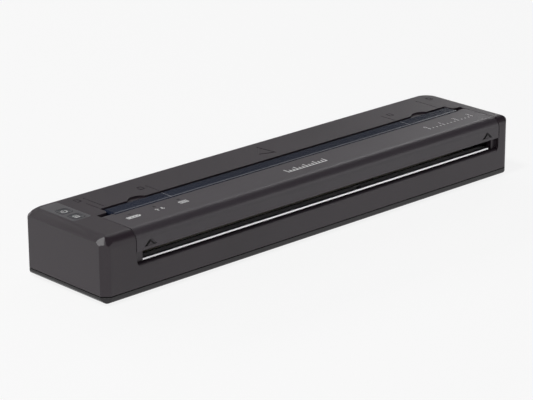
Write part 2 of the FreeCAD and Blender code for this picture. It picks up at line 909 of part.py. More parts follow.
def cover_tools():
    tools = []
    pin_radius = hinge_pin_radius + running_gap
    tools.append(rod_x(cover_left, cover_left + hinge_pin_grip, hinge_y, hinge_z, pin_radius))
    tools.append(rod_x(cover_right - hinge_pin_grip, cover_right, hinge_y, hinge_z, pin_radius))
    stub = flap_pin_radius + running_gap
    grip = flap_pin_grip + running_gap
    tools.append(rod_x(arm_left_inner - grip, arm_left_inner, flap_axis_y, flap_axis_z, stub))
    tools.append(rod_x(arm_right_inner, arm_right_inner + grip, flap_axis_y, flap_axis_z, stub))
    for x in light_places:
        tools.append(rod_z(x, light_y, light_board_top, height + overrun, light_radius + running_gap))
    arrow_foot = cover_edge_height + arrow_lift
    for x in (cover_left + arrow_left_margin, cover_right - arrow_right_margin):
        points = [(x - arrow_half, arrow_foot), (x + arrow_half, arrow_foot), (x, arrow_foot + arrow_rise)]
        tools.append(prism_y(points, -depth, -half_depth + arrow_depth))
    for x, y in cover_screws_at:
        tools.append(rod_z(x, y, 0, cover_ceiling, small_screw_radius + running_gap))
    return tools


def cover_hinge_pins():
    left_end = cover_left + hinge_pin_grip - touch_gap
    right_end = cover_right - hinge_pin_grip + touch_gap
    left = rod_x(well_left - wall, left_end, hinge_y, hinge_z, hinge_pin_radius)
    right = rod_x(right_end, well_right + wall, hinge_y, hinge_z, hinge_pin_radius)
    return Part.makeCompound([left, right])


def cover_liner():
    """The inner shell of the cover: upper paper guide, upright wall and ribs under the exit guide."""
    x0 = slot_left + touch_gap
    x1 = slot_right - touch_gap
    front = front_inner + fit_gap
    low = cover_edge_height + liner_drop
    wall_back = platen_y - platen_radius - touch_gap - running_gap
    wall_front = wall_back - liner_wall
    flat_end = front + liner_flat
    top = liner_web_height
    section = [
        (front, low), (flat_end, low - liner_drop), (wall_back, liner_tip), (wall_back, top),
        (front + cover_wall + liner_wall, top), (front + cover_wall + liner_wall, top - liner_wall),
        (wall_front, top - liner_wall), (wall_front, liner_tip + 2 * liner_wall),
        (flat_end, low - liner_drop + liner_wall), (front, low + liner_wall),
    ]
    guide = prism_x(section, max(x0, ear_left + sheet + touch_gap), min(x1, ear_right - touch_gap))
    pieces = [guide]
    knuckle_foot = flap_axis_z - flap_knuckle - touch_gap
    knuckle_front = flap_front - touch_gap
    knuckle_back = flap_axis_y + flap_knuckle + touch_gap
    seat = flap_axis_z - running_gap
    for x in liner_ribs:
        web = bracket_height + sheet + touch_gap
        rib = [
            (wall_front, web), (bracket_back, web), (knuckle_back, web), (liner_rib_rear, knuckle_foot),
            (liner_rib_rear, seat), (knuckle_back, seat), (knuckle_back, knuckle_foot),
            (knuckle_front, knuckle_foot), (knuckle_front, cover_ceiling), (wall_front, cover_ceiling),
        ]
        pieces.append(prism_x(rib, x - rib_thickness / 2, x + rib_thickness / 2))
    body = fuse(pieces)
    holes = [rod_z(x, y, 0, height, small_screw_radius + fit_gap) for x, y in cover_screws_at]
    return cut(body, holes)


def platen_bracket():
    """A steel channel under the cover whose two ears carry the platen's bushes."""
    web_top = bracket_height + sheet
    pieces = [box(ear_left, ear_right + sheet, bracket_front, bracket_back, bracket_height, web_top)]
    half = bush_radius + ear_margin
    for x0 in (ear_left, ear_right):
        pieces.append(box(x0, x0 + sheet, platen_y - half, platen_y + half - ear_margin, platen_z, web_top))
        pieces.append(rod_x(x0, x0 + sheet, platen_y, platen_z, half))
    tools = [rod_x(ear_left - overrun, ear_right + overrun, platen_y, platen_z, bush_radius)]
    return cut(fuse(pieces), tools)


def platen_bushes():
    bushes = []
    for x0, x1 in ((bush_left, ear_left + sheet), (ear_right, bush_right)):
        bush = rod_x(x0, x1, platen_y, platen_z, bush_radius)
        bushes.append(bush.cut(rod_x(x0, x1, platen_y, platen_z, journal_radius + running_gap)))
    return Part.makeCompound(bushes)


def platen_shaft():
    core = rod_x(roller_left, roller_right, platen_y, platen_z, platen_core_radius)
    journal = rod_x(platen_gear_left, journal_right, platen_y, platen_z, journal_radius)
    return fuse([core, journal])


def platen_rubber():
    sleeve = rod_x(roller_left, roller_right, platen_y, platen_z, platen_radius)
    return sleeve.cut(rod_x(roller_left, roller_right, platen_y, platen_z, platen_core_radius))


def platen_gear():
    return gear(platen_teeth, platen_gear_left, platen_gear_right, platen_y, platen_z, mesh_angle,
                journal_radius)


# Exit guide
def exit_guide():
    deck = box(flap_left, flap_right, flap_axis_y, flap_rear, flap_axis_z, height)
    brim = height - flap_bevel
    lean = [(flap_rear - flap_bevel, height), (flap_rear, brim), (flap_rear + overrun, brim),
            (flap_rear + overrun, height + overrun), (flap_rear - flap_bevel, height + overrun)]
    deck = deck.cut(prism_x(lean, -length, length))
    corners = []
    for x, side in ((flap_left, -1), (flap_right, 1)):
        slope = [(x - side * flap_bevel, height), (x, brim), (x + side * overrun, brim),
                 (x + side * overrun, height + overrun), (x - side * flap_bevel, height + overrun)]
        deck = deck.cut(prism_y(slope, -depth, depth))
        turn = x - side * flap_corner
        square = box(min(x, turn), max(x, turn), flap_front, flap_front + flap_corner, 0, height + overrun)
        corners.append(square.cut(rod_z(turn, flap_front + flap_corner, 0, height + overrun, flap_corner)))
    knuckle = rod_x(flap_left, flap_right, flap_axis_y, flap_axis_z, flap_knuckle)
    bore = flap_pin_radius
    reach = flap_pin_grip * 2
    left = rod_x(flap_left, flap_left + reach, flap_axis_y, flap_axis_z, bore)
    right = rod_x(flap_right - reach, flap_right, flap_axis_y, flap_axis_z, bore)
    return cut(fuse([deck, knuckle]), [left, right] + corners)


def exit_guide_pins():
    reach = flap_pin_grip * 2
    left_end = arm_left_inner - flap_pin_grip
    right_end = arm_right_inner + flap_pin_grip
    left = rod_x(left_end, flap_left + reach, flap_axis_y, flap_axis_z, flap_pin_radius)
    right = rod_x(flap_right - reach, right_end, flap_axis_y, flap_axis_z, flap_pin_radius)
    return Part.makeCompound([left, right])


# Indicator lights under the cover
def light_board():
    x0 = min(light_places) - light_board_margin
    x1 = max(light_places) + light_board_margin
    half = light_board_width / 2
    return box(x0, x1, light_y - half, light_y + half, light_board_top - key_board_thickness, light_board_top)


def light_pipes():
    pipes = [rod_z(x, light_y, light_board_top, height - lens_recess, light_radius) for x in light_places]
    return Part.makeCompound(pipes)


# Steel chassis
def chassis():
    x0 = plate_left
    x1 = plate_right + sheet
    pieces = [box(x0, x1, chassis_front, chassis_back, chassis_bottom, chassis_floor)]
    for x in (plate_left, plate_right):
        plate = box(x, x + sheet, chassis_front, chassis_back, chassis_bottom, chassis_top)
        pieces.append(plate.cut(bush_notch()))
    tools = [rod_z(x, y, 0, height, small_screw_radius + fit_gap) for x, y in chassis_screws_at]
    pin_y, pin_z = head_point(head_pin_along, head_pin_out)
    tools.append(rod_x(x0 - overrun, x1 + overrun, pin_y, pin_z, stud_radius))
    tools.append(rod_x(x0 - overrun, 0, reduction_y, reduction_z, stud_radius))
    return cut(fuse(pieces), tools)


def bush_notch():
    """The way that a bush takes out of the side plate as the cover swings up."""
    reach = bush_radius + touch_gap
    seat = rod_x(-length, length, platen_y, platen_z, reach)
    start = math.atan2(swing_z, swing_y)
    outer = swing_radius + reach
    far = 2 * outer
    wedge = [(hinge_y, hinge_z)]
    for share in (0, 1, 2, 3):
        angle = start - share * math.pi / 6
        wedge.append((hinge_y + far * math.cos(angle), hinge_z + far * math.sin(angle)))
    pie = prism_x(wedge, -length, length).common(rod_x(-length, length, hinge_y, hinge_z, outer))
    return seat.fuse(pie)


def head_point(along, out):
    return nip_y + along * along_y + out * out_y, nip_z + along * along_z + out * out_z


def head_bar(along0, along1, out0, out1, x0, x1):
    corners = [(along0, out0), (along1, out0), (along1, out1), (along0, out1)]
    return prism_x([head_point(a, o) for a, o in corners], x0, x1)


def head_heat_sink():
    bar = head_bar(-sink_front_reach, sink_back_reach, sink_face, sink_back, head_left, head_right)
    pieces = [bar]
    for x in spring_places:
        y, z = spring_seat()
        pieces.append(rod_z(x, y, spring_pad_height, z, spring_pad_radius))
    pin_y, pin_z = head_point(head_pin_along, head_pin_out)
    radius = stud_radius + running_gap
    reach = head_pin_grip + touch_gap
    tools = [rod_x(head_left, head_left + reach, pin_y, pin_z, radius)]
    tools.append(rod_x(head_right - reach, head_right, pin_y, pin_z, radius))
    return cut(fuse(pieces), tools)


def spring_seat():
    """Where a spring stands: under the head, spring_reach up from the contact line."""
    y = nip_y + spring_reach
    sink_middle = (sink_face + sink_back) / 2
    along = (y - nip_y - sink_middle * out_y) / along_y
    return head_point(along, sink_middle)


def head_ceramic():
    return head_bar(-ceramic_half_width, ceramic_half_width, head_gap, sink_face, head_left, head_right)


def driver_cover():
    start = -sink_front_reach
    end = start + driver_cover_width
    low = sink_face - driver_cover_thickness
    bar = head_bar(start, -ceramic_half_width, low, sink_face, head_left, head_right)
    shelf = head_bar(start, end, low - ceramic_thickness / 4, head_gap, head_left, head_right)
    return fuse([bar, shelf])


def head_connector():
    x = (head_left + head_right) / 2
    y0 = -connector_width / 2
    body = head_bar(y0, connector_width / 2, sink_back, sink_back + connector_height,
                    x - 2 * connector_length, x - connector_length)
    return body


def head_pivot_pins():
    pin_y, pin_z = head_point(head_pin_along, head_pin_out)
    left = rod_x(plate_left, head_left + head_pin_grip, pin_y, pin_z, stud_radius)
    right = rod_x(head_right - head_pin_grip, plate_right + sheet, pin_y, pin_z, stud_radius)
    return Part.makeCompound([left, right])


def head_springs():
    springs = []
    y, z = spring_seat()
    foot = chassis_floor + spring_wire
    rise = spring_pad_height - spring_wire - foot
    for x in spring_places:
        path = Part.makeHelix(rise / spring_turns, rise, spring_radius)
        start = FreeCAD.Vector(spring_radius, 0, 0)
        ring = Part.Wire(Part.makeCircle(spring_wire, start, Y))
        coil = Part.Wire(path.Edges).makePipeShell([ring], True, True)
        coil.translate(FreeCAD.Vector(x, y, foot))
        springs.append(Part.Solid(coil) if coil.ShapeType == "Shell" else coil)
    return Part.makeCompound(springs)


# Gear train and motor
def gear_plate():
    y0 = motor_y - motor_radius - motor_ear_reach
    y1 = reduction_y + gear_plate_margin
    top = reduction_z + gear_plate_margin
    plate = box(gear_plate_left, gear_plate_right, y0, y1, floor_top, top)
    hole_radius = pinion_pitch + addendum + touch_gap
    shaft_hole = rod_x(gear_plate_left, gear_plate_right, motor_y, motor_z, hole_radius)
    stud_hole = rod_x(gear_plate_left, gear_plate_right, reduction_y, reduction_z, stud_radius)
    holes = [shaft_hole, stud_hole]
    for y, z in motor_ears():
        holes.append(rod_x(gear_plate_left, gear_plate_right, y, z, small_screw_radius))
    return cut(plate, holes)


def motor_ears():
    reach = motor_radius + small_head_radius + fit_gap
    return [(motor_y - reach, motor_z), (motor_y + reach, motor_z)]


def drive_motor():
    can = rod_x(motor_front - motor_length, motor_front, motor_y, motor_z, motor_radius)
    pieces = [can]
    tools = [rod_x(motor_front - shaft_depth, gear_plate_left, motor_y, motor_z, shaft_radius + running_gap)]
    for y, z in motor_ears():
        pieces.append(rod_x(motor_front, gear_plate_left, y, z, motor_ear_reach))
        tools.append(rod_x(motor_front, gear_plate_left, y, z, small_screw_radius))
    pieces.append(rod_x(motor_front, gear_plate_left, motor_y, motor_z, motor_radius))
    return cut(fuse(pieces), tools)


def motor_screws():
    screws = []
    for y, z in motor_ears():
        head = rod_x(motor_front - small_head_height, motor_front, y, z, small_head_radius)
        stem = rod_x(motor_front, gear_plate_right, y, z, small_screw_radius)
        screws.append(fuse([head, stem]))
    return Part.makeCompound(screws)


def motor_shaft():
    return rod_x(motor_front - shaft_depth + touch_gap, wheel_right, motor_y, motor_z, shaft_radius)


def motor_pinion():
    angle = motor_angle + math.pi + math.pi / pinion_teeth
    return gear(pinion_teeth, wheel_left, wheel_right, motor_y, motor_z, angle, shaft_radius)


def reduction_gear():
    bore = stud_radius + running_gap
    large = gear(large_teeth, wheel_left, wheel_right, reduction_y, reduction_z, motor_angle, bore)
    angle = mesh_angle + math.pi + math.pi / small_teeth
    small = gear(small_teeth, platen_gear_left, platen_gear_right, reduction_y, reduction_z, angle, bore)
    hub = rod_x(wheel_right, platen_gear_left, reduction_y, reduction_z, hub_radius)
    hub = hub.cut(rod_x(wheel_right, platen_gear_left, reduction_y, reduction_z, bore))
    return fuse([large, hub, small])


def gear_stud():
    return rod_x(gear_plate_left, plate_left + sheet, reduction_y, reduction_z, stud_radius)


# Paper guide, tear bar, sensor and switch
def guide_section():
    front = -half_depth + lip_roll + fit_gap
    bar_floor = guide_height - bar_thickness
    bar_back = front + bar_width + fit_gap
    tail = guide_height - guide_fall
    return [
        (front, bar_floor), (bar_back, bar_floor), (bar_back, guide_height), (guide_bend, guide_height),
        (guide_back, tail), (guide_back, tail - guide_thickness), (guide_bend, guide_underside),
        (front, guide_underside),
    ]


def paper_guide():
    """The lower paper guide. Its tail is narrower, between the chassis plates."""
    section = guide_section()
    whole = prism_x(section, slot_left + touch_gap, slot_right - touch_gap)
    tail_front = chassis_front - touch_gap
    for x0, x1 in ((-length, plate_left + sheet + touch_gap), (ear_right - touch_gap, length)):
        whole = whole.cut(box(x0, x1, tail_front, depth, 0, height))
    pieces = [whole]
    rib_front = section[0][0] + lip_thickness
    rib_top = guide_underside + guide_thickness / 2
    for x in guide_ribs:
        x0 = x - rib_thickness / 2
        pieces.append(box(x0, x0 + rib_thickness, rib_front, rib_front + rib_run, floor_top, rib_top))
    tools = [box(sensor_x - sensor_width / 2 - fit_gap, sensor_x + sensor_width / 2 + fit_gap,
                 guide_bend - sensor_length, guide_bend, 0, height)]
    return cut(fuse(pieces), tools)


def tear_bar():
    front = -half_depth + lip_roll + fit_gap
    floor = guide_height - bar_thickness
    top = guide_height + bar_rise
    section = [(front, floor), (front + bar_width, floor), (front + bar_width, top), (front + bar_slope, top)]
    return prism_x(section, slot_left + touch_gap, bar_right)


def paper_sensor():
    top = guide_height - sensor_recess
    foot = guide_underside
    lens = box(sensor_x - sensor_width / 2, sensor_x + sensor_width / 2, guide_bend - sensor_length + fit_gap,
               guide_bend - fit_gap, foot, top)
    half = sensor_board_width / 2
    board = box(sensor_x - half, sensor_x + half, guide_bend - sensor_length, guide_bend,
                foot - key_board_thickness, foot)
    return fuse([lens, board])


def cover_switch_post():
    x1 = cover_right
    x0 = x1 - micro_width
    post_top = cover_edge_height - plunger_gap * 4 - micro_height
    return box(x0, x1, micro_y, micro_y + micro_length, floor_top, post_top)


def cover_switch():
    x1 = cover_right
    x0 = x1 - micro_width
    top = cover_edge_height - plunger_gap * 4
    body = box(x0, x1, micro_y, micro_y + micro_length, top - micro_height, top)
    plunger = rod_z(x1 - micro_width / 2, micro_y + micro_length / 2, top, cover_edge_height - plunger_gap,
                    plunger_radius)
    return fuse([body, plunger])


# Battery and door
def battery_pack():
    top = pack_bottom + pack_height
    points = [(pack_front, pack_bottom), (pack_back, pack_bottom), (pack_back, top), (pack_front, top)]
    face = outline(points, [pack_width * pack_corner_share] * 4, spot_yz)
    face.translate(X * pack_left)
    return face.extrude(X * (pack_right - pack_left))


def battery_contacts():
    blades = []
    middle = (pack_front + pack_back) / 2
    blade_pitch = pack_width * blade_pitch_share
    first = middle - blade_pitch * (blade_count - 1) / 2
    z0 = pack_bottom + pack_height / 2 - blade_height / 2
    x0 = pack_left - touch_gap + running_gap
    for i in range(blade_count):
        y = first + i * blade_pitch
        blades.append(box(x0, pack_left, y - blade_width / 2, y + blade_width / 2, z0, z0 + blade_height))
    return Part.makeCompound(blades)


def battery_door():
    top = base_bottom + door_thickness
    x0 = door_left + door_edge_gap
    x1 = door_right - door_edge_gap
    front = door_front + door_edge_gap
    plate = box(x0, x1, front, door_axis_y, base_bottom, top)
    knuckle = rod_x(x0, x1, door_axis_y, door_axis_z, door_knuckle)
    pieces = [plate, knuckle]
    pieces.append(rod_x(door_left - door_pin_grip, door_right + door_pin_grip, door_axis_y, door_axis_z,
                        door_pin_radius))
    return fuse(pieces)


# Boards, ports and keys
def main_board():
    board = box(board_left, board_right, board_front, board_back, board_height, board_top)
    holes = [rod_z(x, y, 0, height, small_screw_radius + fit_gap) for x, y in board_screws_at]
    return cut(board, holes)


def board_chips():
    chips = []
    for along, across, long_share, short_share in chip_shares:
        x = board_left + board_length * along
        y = board_front + board_width * across
        chips.append(box(x, x + board_length * long_share, y, y + board_width * short_share,
                         board_height - chip_height, board_height))
    return Part.makeCompound(chips)


def radio_module():
    x0 = board_left + board_length * radio_place_share
    y0 = board_front + fit_gap
    return box(x0, x0 + board_length * radio_length_share, y0, y0 + board_width * radio_width_share,
               board_height - radio_height, board_height)


def usb_socket():
    x0 = usb_x - usb_width / 2
    x1 = usb_x + usb_width / 2
    z0 = board_height - usb_height
    back = half_depth - touch_gap
    corners = [(x0, z0), (x1, z0), (x1, board_height), (x0, board_height)]
    outer = outline(corners, [(usb_height - usb_shell) / 2] * 4, spot_xz)
    mouth = outer.makeOffset2D(-usb_shell)
    outer.translate(Y * (back - usb_depth))
    mouth.translate(Y * (back - usb_depth + usb_shell))
    shell = outer.extrude(Y * usb_depth).cut(mouth.extrude(Y * usb_depth))
    middle = (z0 + board_height) / 2
    tongue = box(x0 + usb_height / 2, x1 - usb_height / 2, back - usb_depth, back - usb_height / 2,
                 middle - usb_tongue / 2, middle + usb_tongue / 2)
    return fuse([shell, tongue])


def power_jack():
    x0 = jack_x - jack_side / 2
    back = half_depth - wall - fit_gap
    z = board_height - jack_side / 2
    body = box(x0, x0 + jack_side, back - jack_depth, back, board_height - jack_side, board_height)
    collar = rod_y(jack_x, back, half_depth - touch_gap, z, jack_bore + port_gap - running_gap)
    bore = rod_y(jack_x, back - jack_depth + wall, half_depth, z, jack_bore - running_gap * 4)
    pin = rod_y(jack_x, back - jack_depth, half_depth - wall, z, jack_pin_radius)
    return fuse([fuse([body, collar]).cut(bore), pin])


def key_board():
    x0 = panel_left - 2 * key_post_radius
    return box(x0, wheel_right, panel_front, panel_back, key_board_bottom, key_board_top)


def key_switches():
    switches = []
    half = switch_side / 2
    body_top = key_board_top + switch_height
    for y in (power_y, feed_y):
        body = box(key_x - half, key_x + half, y - half, y + half, key_board_top, body_top)
        switches.append(fuse([body, rod_z(key_x, y, key_board_top, stem_top, stem_radius)]))
    return Part.makeCompound(switches)


def panel_ribbon():
    """A flat cable under both boards, from the key board to the main board."""
    x0 = wheel_right - panel_collar
    x1 = board_left + wall / 2
    y0 = board_front + panel_collar
    return box(x0, x1, y0, y0 + key_side, board_height - blade_thickness, board_height)


def panel_bezel():
    plate_foot = height - panel_plate
    plate = block_z(panel_left, panel_right, panel_front, panel_back, plate_foot, height, panel_corner)
    x0 = panel_left + panel_ledge + fit_gap
    x1 = panel_right - panel_ledge - fit_gap
    y0 = panel_front + panel_ledge + fit_gap
    y1 = panel_back - panel_ledge - fit_gap
    collar = block_z(x0, x1, y0, y1, collar_bottom, plate_foot, panel_corner - panel_ledge - fit_gap)
    tools = [key_block(y, key_gap, 0, height + overrun) for y in (power_y, feed_y)]
    return cut(fuse([plate, collar]), tools)


def key_block(y, margin, z0, z1):
    half = key_side / 2 + margin
    return block_z(key_x - half, key_x + half, y - half, y + half, z0, z1, key_corner + margin)


def key(y):
    cap = key_block(y, 0, key_foot, height + key_crown)
    flange = key_block(y, key_flange, key_foot, key_foot + key_flange_thickness)
    return fuse([cap, flange])


def casing_screws():
    foot = base_bottom + fit_gap
    tip = base_bottom + screw_length
    screws = [screw(x, y, tip, foot, screw_head_radius, screw_head_height, screw_radius, False)
              for x, y in casing_screws_at]
    return Part.makeCompound(screws)


def small_screws(places, top, foot, head_up):
    screws = [screw(x, y, top, foot, small_head_radius, small_head_height, small_screw_radius, head_up)
              for x, y in places]
    return Part.makeCompound(screws)


def chassis_screws():
    return small_screws(chassis_screws_at, chassis_floor + small_head_height, floor_top, True)


def board_screws():
    foot = board_height - small_head_height
    return small_screws(board_screws_at, board_top + small_head_height, foot, False)


def cover_screws():
    foot = liner_web_height - liner_wall - small_head_height
    return small_screws(cover_screws_at, foot + small_screw_length, foot, False)


def main():
    os.makedirs("parts", exist_ok=True)
    makers = [
        base_cover, rubber_feet, upper_casing, release_cover, cover_hinge_pins, cover_liner,
        platen_bracket, platen_bushes, platen_shaft, platen_rubber, platen_gear,
        exit_guide, exit_guide_pins, light_board, light_pipes, chassis,
        head_heat_sink, head_ceramic, driver_cover, head_connector, head_pivot_pins, head_springs,
        gear_plate, drive_motor, motor_screws, motor_shaft, motor_pinion, reduction_gear, gear_stud,
        paper_guide, tear_bar, paper_sensor, cover_switch, battery_pack, battery_contacts, battery_door,
        main_board, board_chips, radio_module, usb_socket, power_jack,
        key_board, key_switches, panel_ribbon, panel_bezel,
        casing_screws, chassis_screws, board_screws, cover_screws,
    ]
    for maker in makers:
        save(maker.__name__, maker())
    save("power_key", key(power_y))
    save("feed_key", key(feed_y))


main()
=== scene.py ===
# %% [markdown]
# # A slim thermal printer, dressed for a studio picture
#
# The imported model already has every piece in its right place. Here those pieces get the finishes that the
# real ones have, and the few shapes that only matter to the eye: dished keys, printed marks, screw
# recesses, feet and the sleeve round the cells. All lengths below are written in millimetres and turned
# into metres by one number, because that is how such a product is drawn.

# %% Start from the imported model
import bpy
import bmesh
import math
import random
from mathutils import Matrix, Vector


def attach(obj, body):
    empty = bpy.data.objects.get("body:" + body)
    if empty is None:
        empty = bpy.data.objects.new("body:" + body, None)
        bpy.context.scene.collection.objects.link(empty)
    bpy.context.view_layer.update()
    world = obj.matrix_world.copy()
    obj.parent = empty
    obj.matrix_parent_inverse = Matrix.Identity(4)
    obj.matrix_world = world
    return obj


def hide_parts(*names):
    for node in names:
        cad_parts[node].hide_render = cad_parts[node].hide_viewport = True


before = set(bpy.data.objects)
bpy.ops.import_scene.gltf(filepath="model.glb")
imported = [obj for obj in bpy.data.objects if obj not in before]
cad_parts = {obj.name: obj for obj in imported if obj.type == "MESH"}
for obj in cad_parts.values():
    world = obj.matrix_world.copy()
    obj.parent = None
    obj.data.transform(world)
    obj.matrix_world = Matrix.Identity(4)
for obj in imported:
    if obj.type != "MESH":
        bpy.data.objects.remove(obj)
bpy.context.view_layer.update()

MM = 0.001

# %% [markdown]
# The picture was taken from the front left with a long lens, a little above the table. A long lens keeps
# the far end nearly as tall as the near one. The numbers come from fitting the outline of the printer, and
# the camera's three axes are worked out from its bearing and height, then turned by a very small roll.

# %% Camera at the photograph's place
BEARING = math.radians(-43.036)
RISE = math.radians(19.248)
ROLL = math.radians(-0.284)
AIM_X, AIM_Y, AWAY = -6.305, 9.644, 1082.46
FOCAL_PIXELS = 2328.88
IMAGE_WIDTH = 533
SENSOR = 36.0

back = Vector((math.sin(BEARING) * math.cos(RISE), -math.cos(BEARING) * math.cos(RISE), math.sin(RISE)))
level = Vector((0, 0, 1)).cross(back).normalized()
upright = back.cross(level)
right = level * math.cos(ROLL) + upright * math.sin(ROLL)
up = upright * math.cos(ROLL) - level * math.sin(ROLL)
spot = (right * AIM_X + up * AIM_Y + back * AWAY) * MM

camera_data = bpy.data.cameras.new("camera")
camera_data.sensor_width = SENSOR
camera_data.lens = FOCAL_PIXELS * SENSOR / IMAGE_WIDTH
camera = bpy.data.objects.new("camera", camera_data)
bpy.context.scene.collection.objects.link(camera)
turn = Matrix((right, up, back)).transposed().to_4x4()
camera.matrix_world = Matrix.Translation(spot) @ turn
bpy.context.scene.camera = camera
bpy.context.scene.view_settings.view_transform = "Standard"
print("lens", round(camera_data.lens, 2), "mm, camera at", [round(v, 4) for v in spot])

# %% [markdown]
# Colours are easiest to read off a picture as hex values, but a renderer adds light in linear amounts. One
# function turns the first into the second. A second small function adds any shader node, sets its values
# and makes its links, so that each finish below reads as a short recipe.

# %% Colour and node helpers
def colour(hex_value):
    parts = [int(hex_value[i:i + 2], 16) / 255 for i in (1, 3, 5)]
    linear = [v / 12.92 if v <= 0.04045 else ((v + 0.055) / 1.055) ** 2.4 for v in parts]
    return (*linear, 1.0)


def add(tree, kind, inputs=None, **settings):
    """Adds a node. Each input is a plain value, or the output socket that feeds it."""
    node = tree.nodes.new(kind)
    for key, value in settings.items():
        setattr(node, key, value)
    for key, value in (inputs or {}).items():
        if isinstance(value, bpy.types.NodeSocket):
            tree.links.new(value, node.inputs[key])
        else:
            node.inputs[key].default_value = value
    return node


def start_material(name, hex_value, roughness, metallic=0.0, ior=None):
    """A material whose shader holds the values that are the same all over it."""
    material = bpy.data.materials.new(name)
    material.use_nodes = True
    tree = material.node_tree
    shader = tree.nodes["Principled BSDF"]
    shader.inputs["Base Color"].default_value = colour(hex_value)
    shader.inputs["Roughness"].default_value = roughness
    shader.inputs["Metallic"].default_value = metallic
    if ior:
        shader.inputs["IOR"].default_value = ior
    material.diffuse_color = colour(hex_value)
    return material, tree, shader


def grain(tree, size_mm, stretch=(1, 1, 1), detail=2.0):
    """Noise whose grains are size_mm across, stretched along an axis by a number below 1."""
    place = add(tree, "ShaderNodeTexCoord")
    shape = add(tree, "ShaderNodeMapping", {"Vector": place.outputs["Object"], "Scale": stretch})
    return add(tree, "ShaderNodeTexNoise", {"Vector": shape.outputs["Vector"], "Scale": 1 / (size_mm * MM),
                                            "Detail": detail})


def vary(tree, shader, source, dark, light, low=0.35, high=0.65):
    """Lets the colour drift between two close values."""
    ramp = add(tree, "ShaderNodeValToRGB", {"Fac": source})
    ramp.color_ramp.elements[0].position = low
    ramp.color_ramp.elements[0].color = colour(dark)
    ramp.color_ramp.elements[1].position = high
    ramp.color_ramp.elements[1].color = colour(light)
    tree.links.new(ramp.outputs["Color"], shader.inputs["Base Color"])
    return ramp


def rough_between(tree, shader, source, low, high):
    span = add(tree, "ShaderNodeMapRange", {"Value": source, "To Min": low, "To Max": high})
    tree.links.new(span.outputs["Result"], shader.inputs["Roughness"])


def relief(tree, shader, source, depth_mm, strength=1.0, edge_mm=0.0):
    """Bump of a real depth. With edge_mm, sharp edges also catch the light as rounded ones do."""
    links = {"Height": source, "Distance": depth_mm * MM, "Strength": strength}
    if edge_mm:
        soft = add(tree, "ShaderNodeBevel", {"Radius": edge_mm * MM}, samples=4)
        links["Normal"] = soft.outputs["Normal"]
    bump = add(tree, "ShaderNodeBump", links)
    tree.links.new(bump.outputs["Normal"], shader.inputs["Normal"])


# %% [markdown]
# ABS is the usual plastic for a printer's casing: stiff, cheap to mould and a little satin. The steel mould
# is spark-eroded, which leaves a fine matt grain of about 0.1 mm on the outside. That is finer than a pixel
# here, so it is drawn about five times coarser, as a slight mottling of gloss and tone. The moulded edges
# have small radii that catch the light.

# %% Casing plastics
def moulded_abs(name, hex_value, dark, light, roughness, spread=0.05):
    material, tree, shader = start_material(name, hex_value, roughness, ior=1.53)
    fine = grain(tree, 0.55, detail=3.0)
    broad = grain(tree, 38.0, detail=1.0)
    both = add(tree, "ShaderNodeMath", {0: fine.outputs["Fac"], 1: broad.outputs["Fac"]}, operation="ADD")
    half = add(tree, "ShaderNodeMath", {0: both.outputs["Value"], 1: 0.5}, operation="MULTIPLY")
    vary(tree, shader, half.outputs["Value"], dark, light)
    rough_between(tree, shader, fine.outputs["Fac"], roughness - spread, roughness + spread)
    relief(tree, shader, fine.outputs["Fac"], 0.012, edge_mm=0.22)
    return material


abs_casing = moulded_abs("abs_spark_eroded_charcoal", "#2E242C", "#2B2229", "#322830", 0.42)
abs_cover = moulded_abs("abs_fine_matt_charcoal", "#423C42", "#3F393F", "#464046", 0.42)
abs_base = moulded_abs("abs_spark_eroded_dark", "#1E1B1E", "#1C191C", "#221F22", 0.5)
abs_inner = moulded_abs("abs_smooth_black", "#1C1C1E", "#1A1A1C", "#212123", 0.42)
# The paper guide's pale grey is painted light: it is drawn far lighter than its dark plastic, because the
# strip of it seen in the slot behind the tear bar lies in the cover's shade and would otherwise render nearly
# black.
abs_guide_painted_light = moulded_abs("abs_paper_guide_painted_light", "#A8A5A8", "#A4A1A4", "#AEABAE", 0.4)
print("casing plastics made")

# %% [markdown]
# The exit guide is a strip of polished polycarbonate with a navy tint, the only coloured piece. Polished
# plastic has a low roughness with faint long waves from the mould flow. The control panel is a semi-gloss
# plate, and its keys are silicone with a soft sheen.

# %% Glossy plastics and silicone
def polished_plastic(name, hex_value, dark, light, roughness, wave_mm):
    material, tree, shader = start_material(name, hex_value, roughness, ior=1.58)
    flow = grain(tree, wave_mm, stretch=(0.15, 1, 1), detail=1.0)
    specks = grain(tree, 0.7, detail=2.0)
    vary(tree, shader, flow.outputs["Fac"], dark, light)
    rough_between(tree, shader, specks.outputs["Fac"], roughness - 0.03, roughness + 0.05)
    relief(tree, shader, flow.outputs["Fac"], 0.01, edge_mm=0.12)
    return material


polycarbonate_navy = polished_plastic("polycarbonate_polished_navy", "#161F34", "#141C30", "#1A243B",
                                      0.2, 18.0)
panel_plate = polished_plastic("abs_semi_gloss_panel", "#565458", "#545256", "#5A585C", 0.4, 9.0)


def silicone(name, hex_value, dark, light):
    material, tree, shader = start_material(name, hex_value, 0.52, ior=1.42)
    shader.inputs["Sheen Weight"].default_value = 0.08
    touch = grain(tree, 0.45, detail=3.0)
    vary(tree, shader, touch.outputs["Fac"], dark, light)
    relief(tree, shader, touch.outputs["Fac"], 0.01, edge_mm=0.2)
    return material


key_silicone = silicone("silicone_moulded_key", "#414145", "#3E3E42", "#47474B")
foot_rubber = silicone("rubber_moulded_foot", "#1B1B1D", "#18181A", "#202022")
print("glossy plastics and silicone made")

# %% [markdown]
# Steel appears in four finishes. The tear bar is ground bright along its length, the sheet frames are zinc
# plated with a faint cloudy spangle, pins and shafts are turned, and the screws are black. A metal keeps
# the shader's default IOR; what changes is the roughness and the direction of the marks.

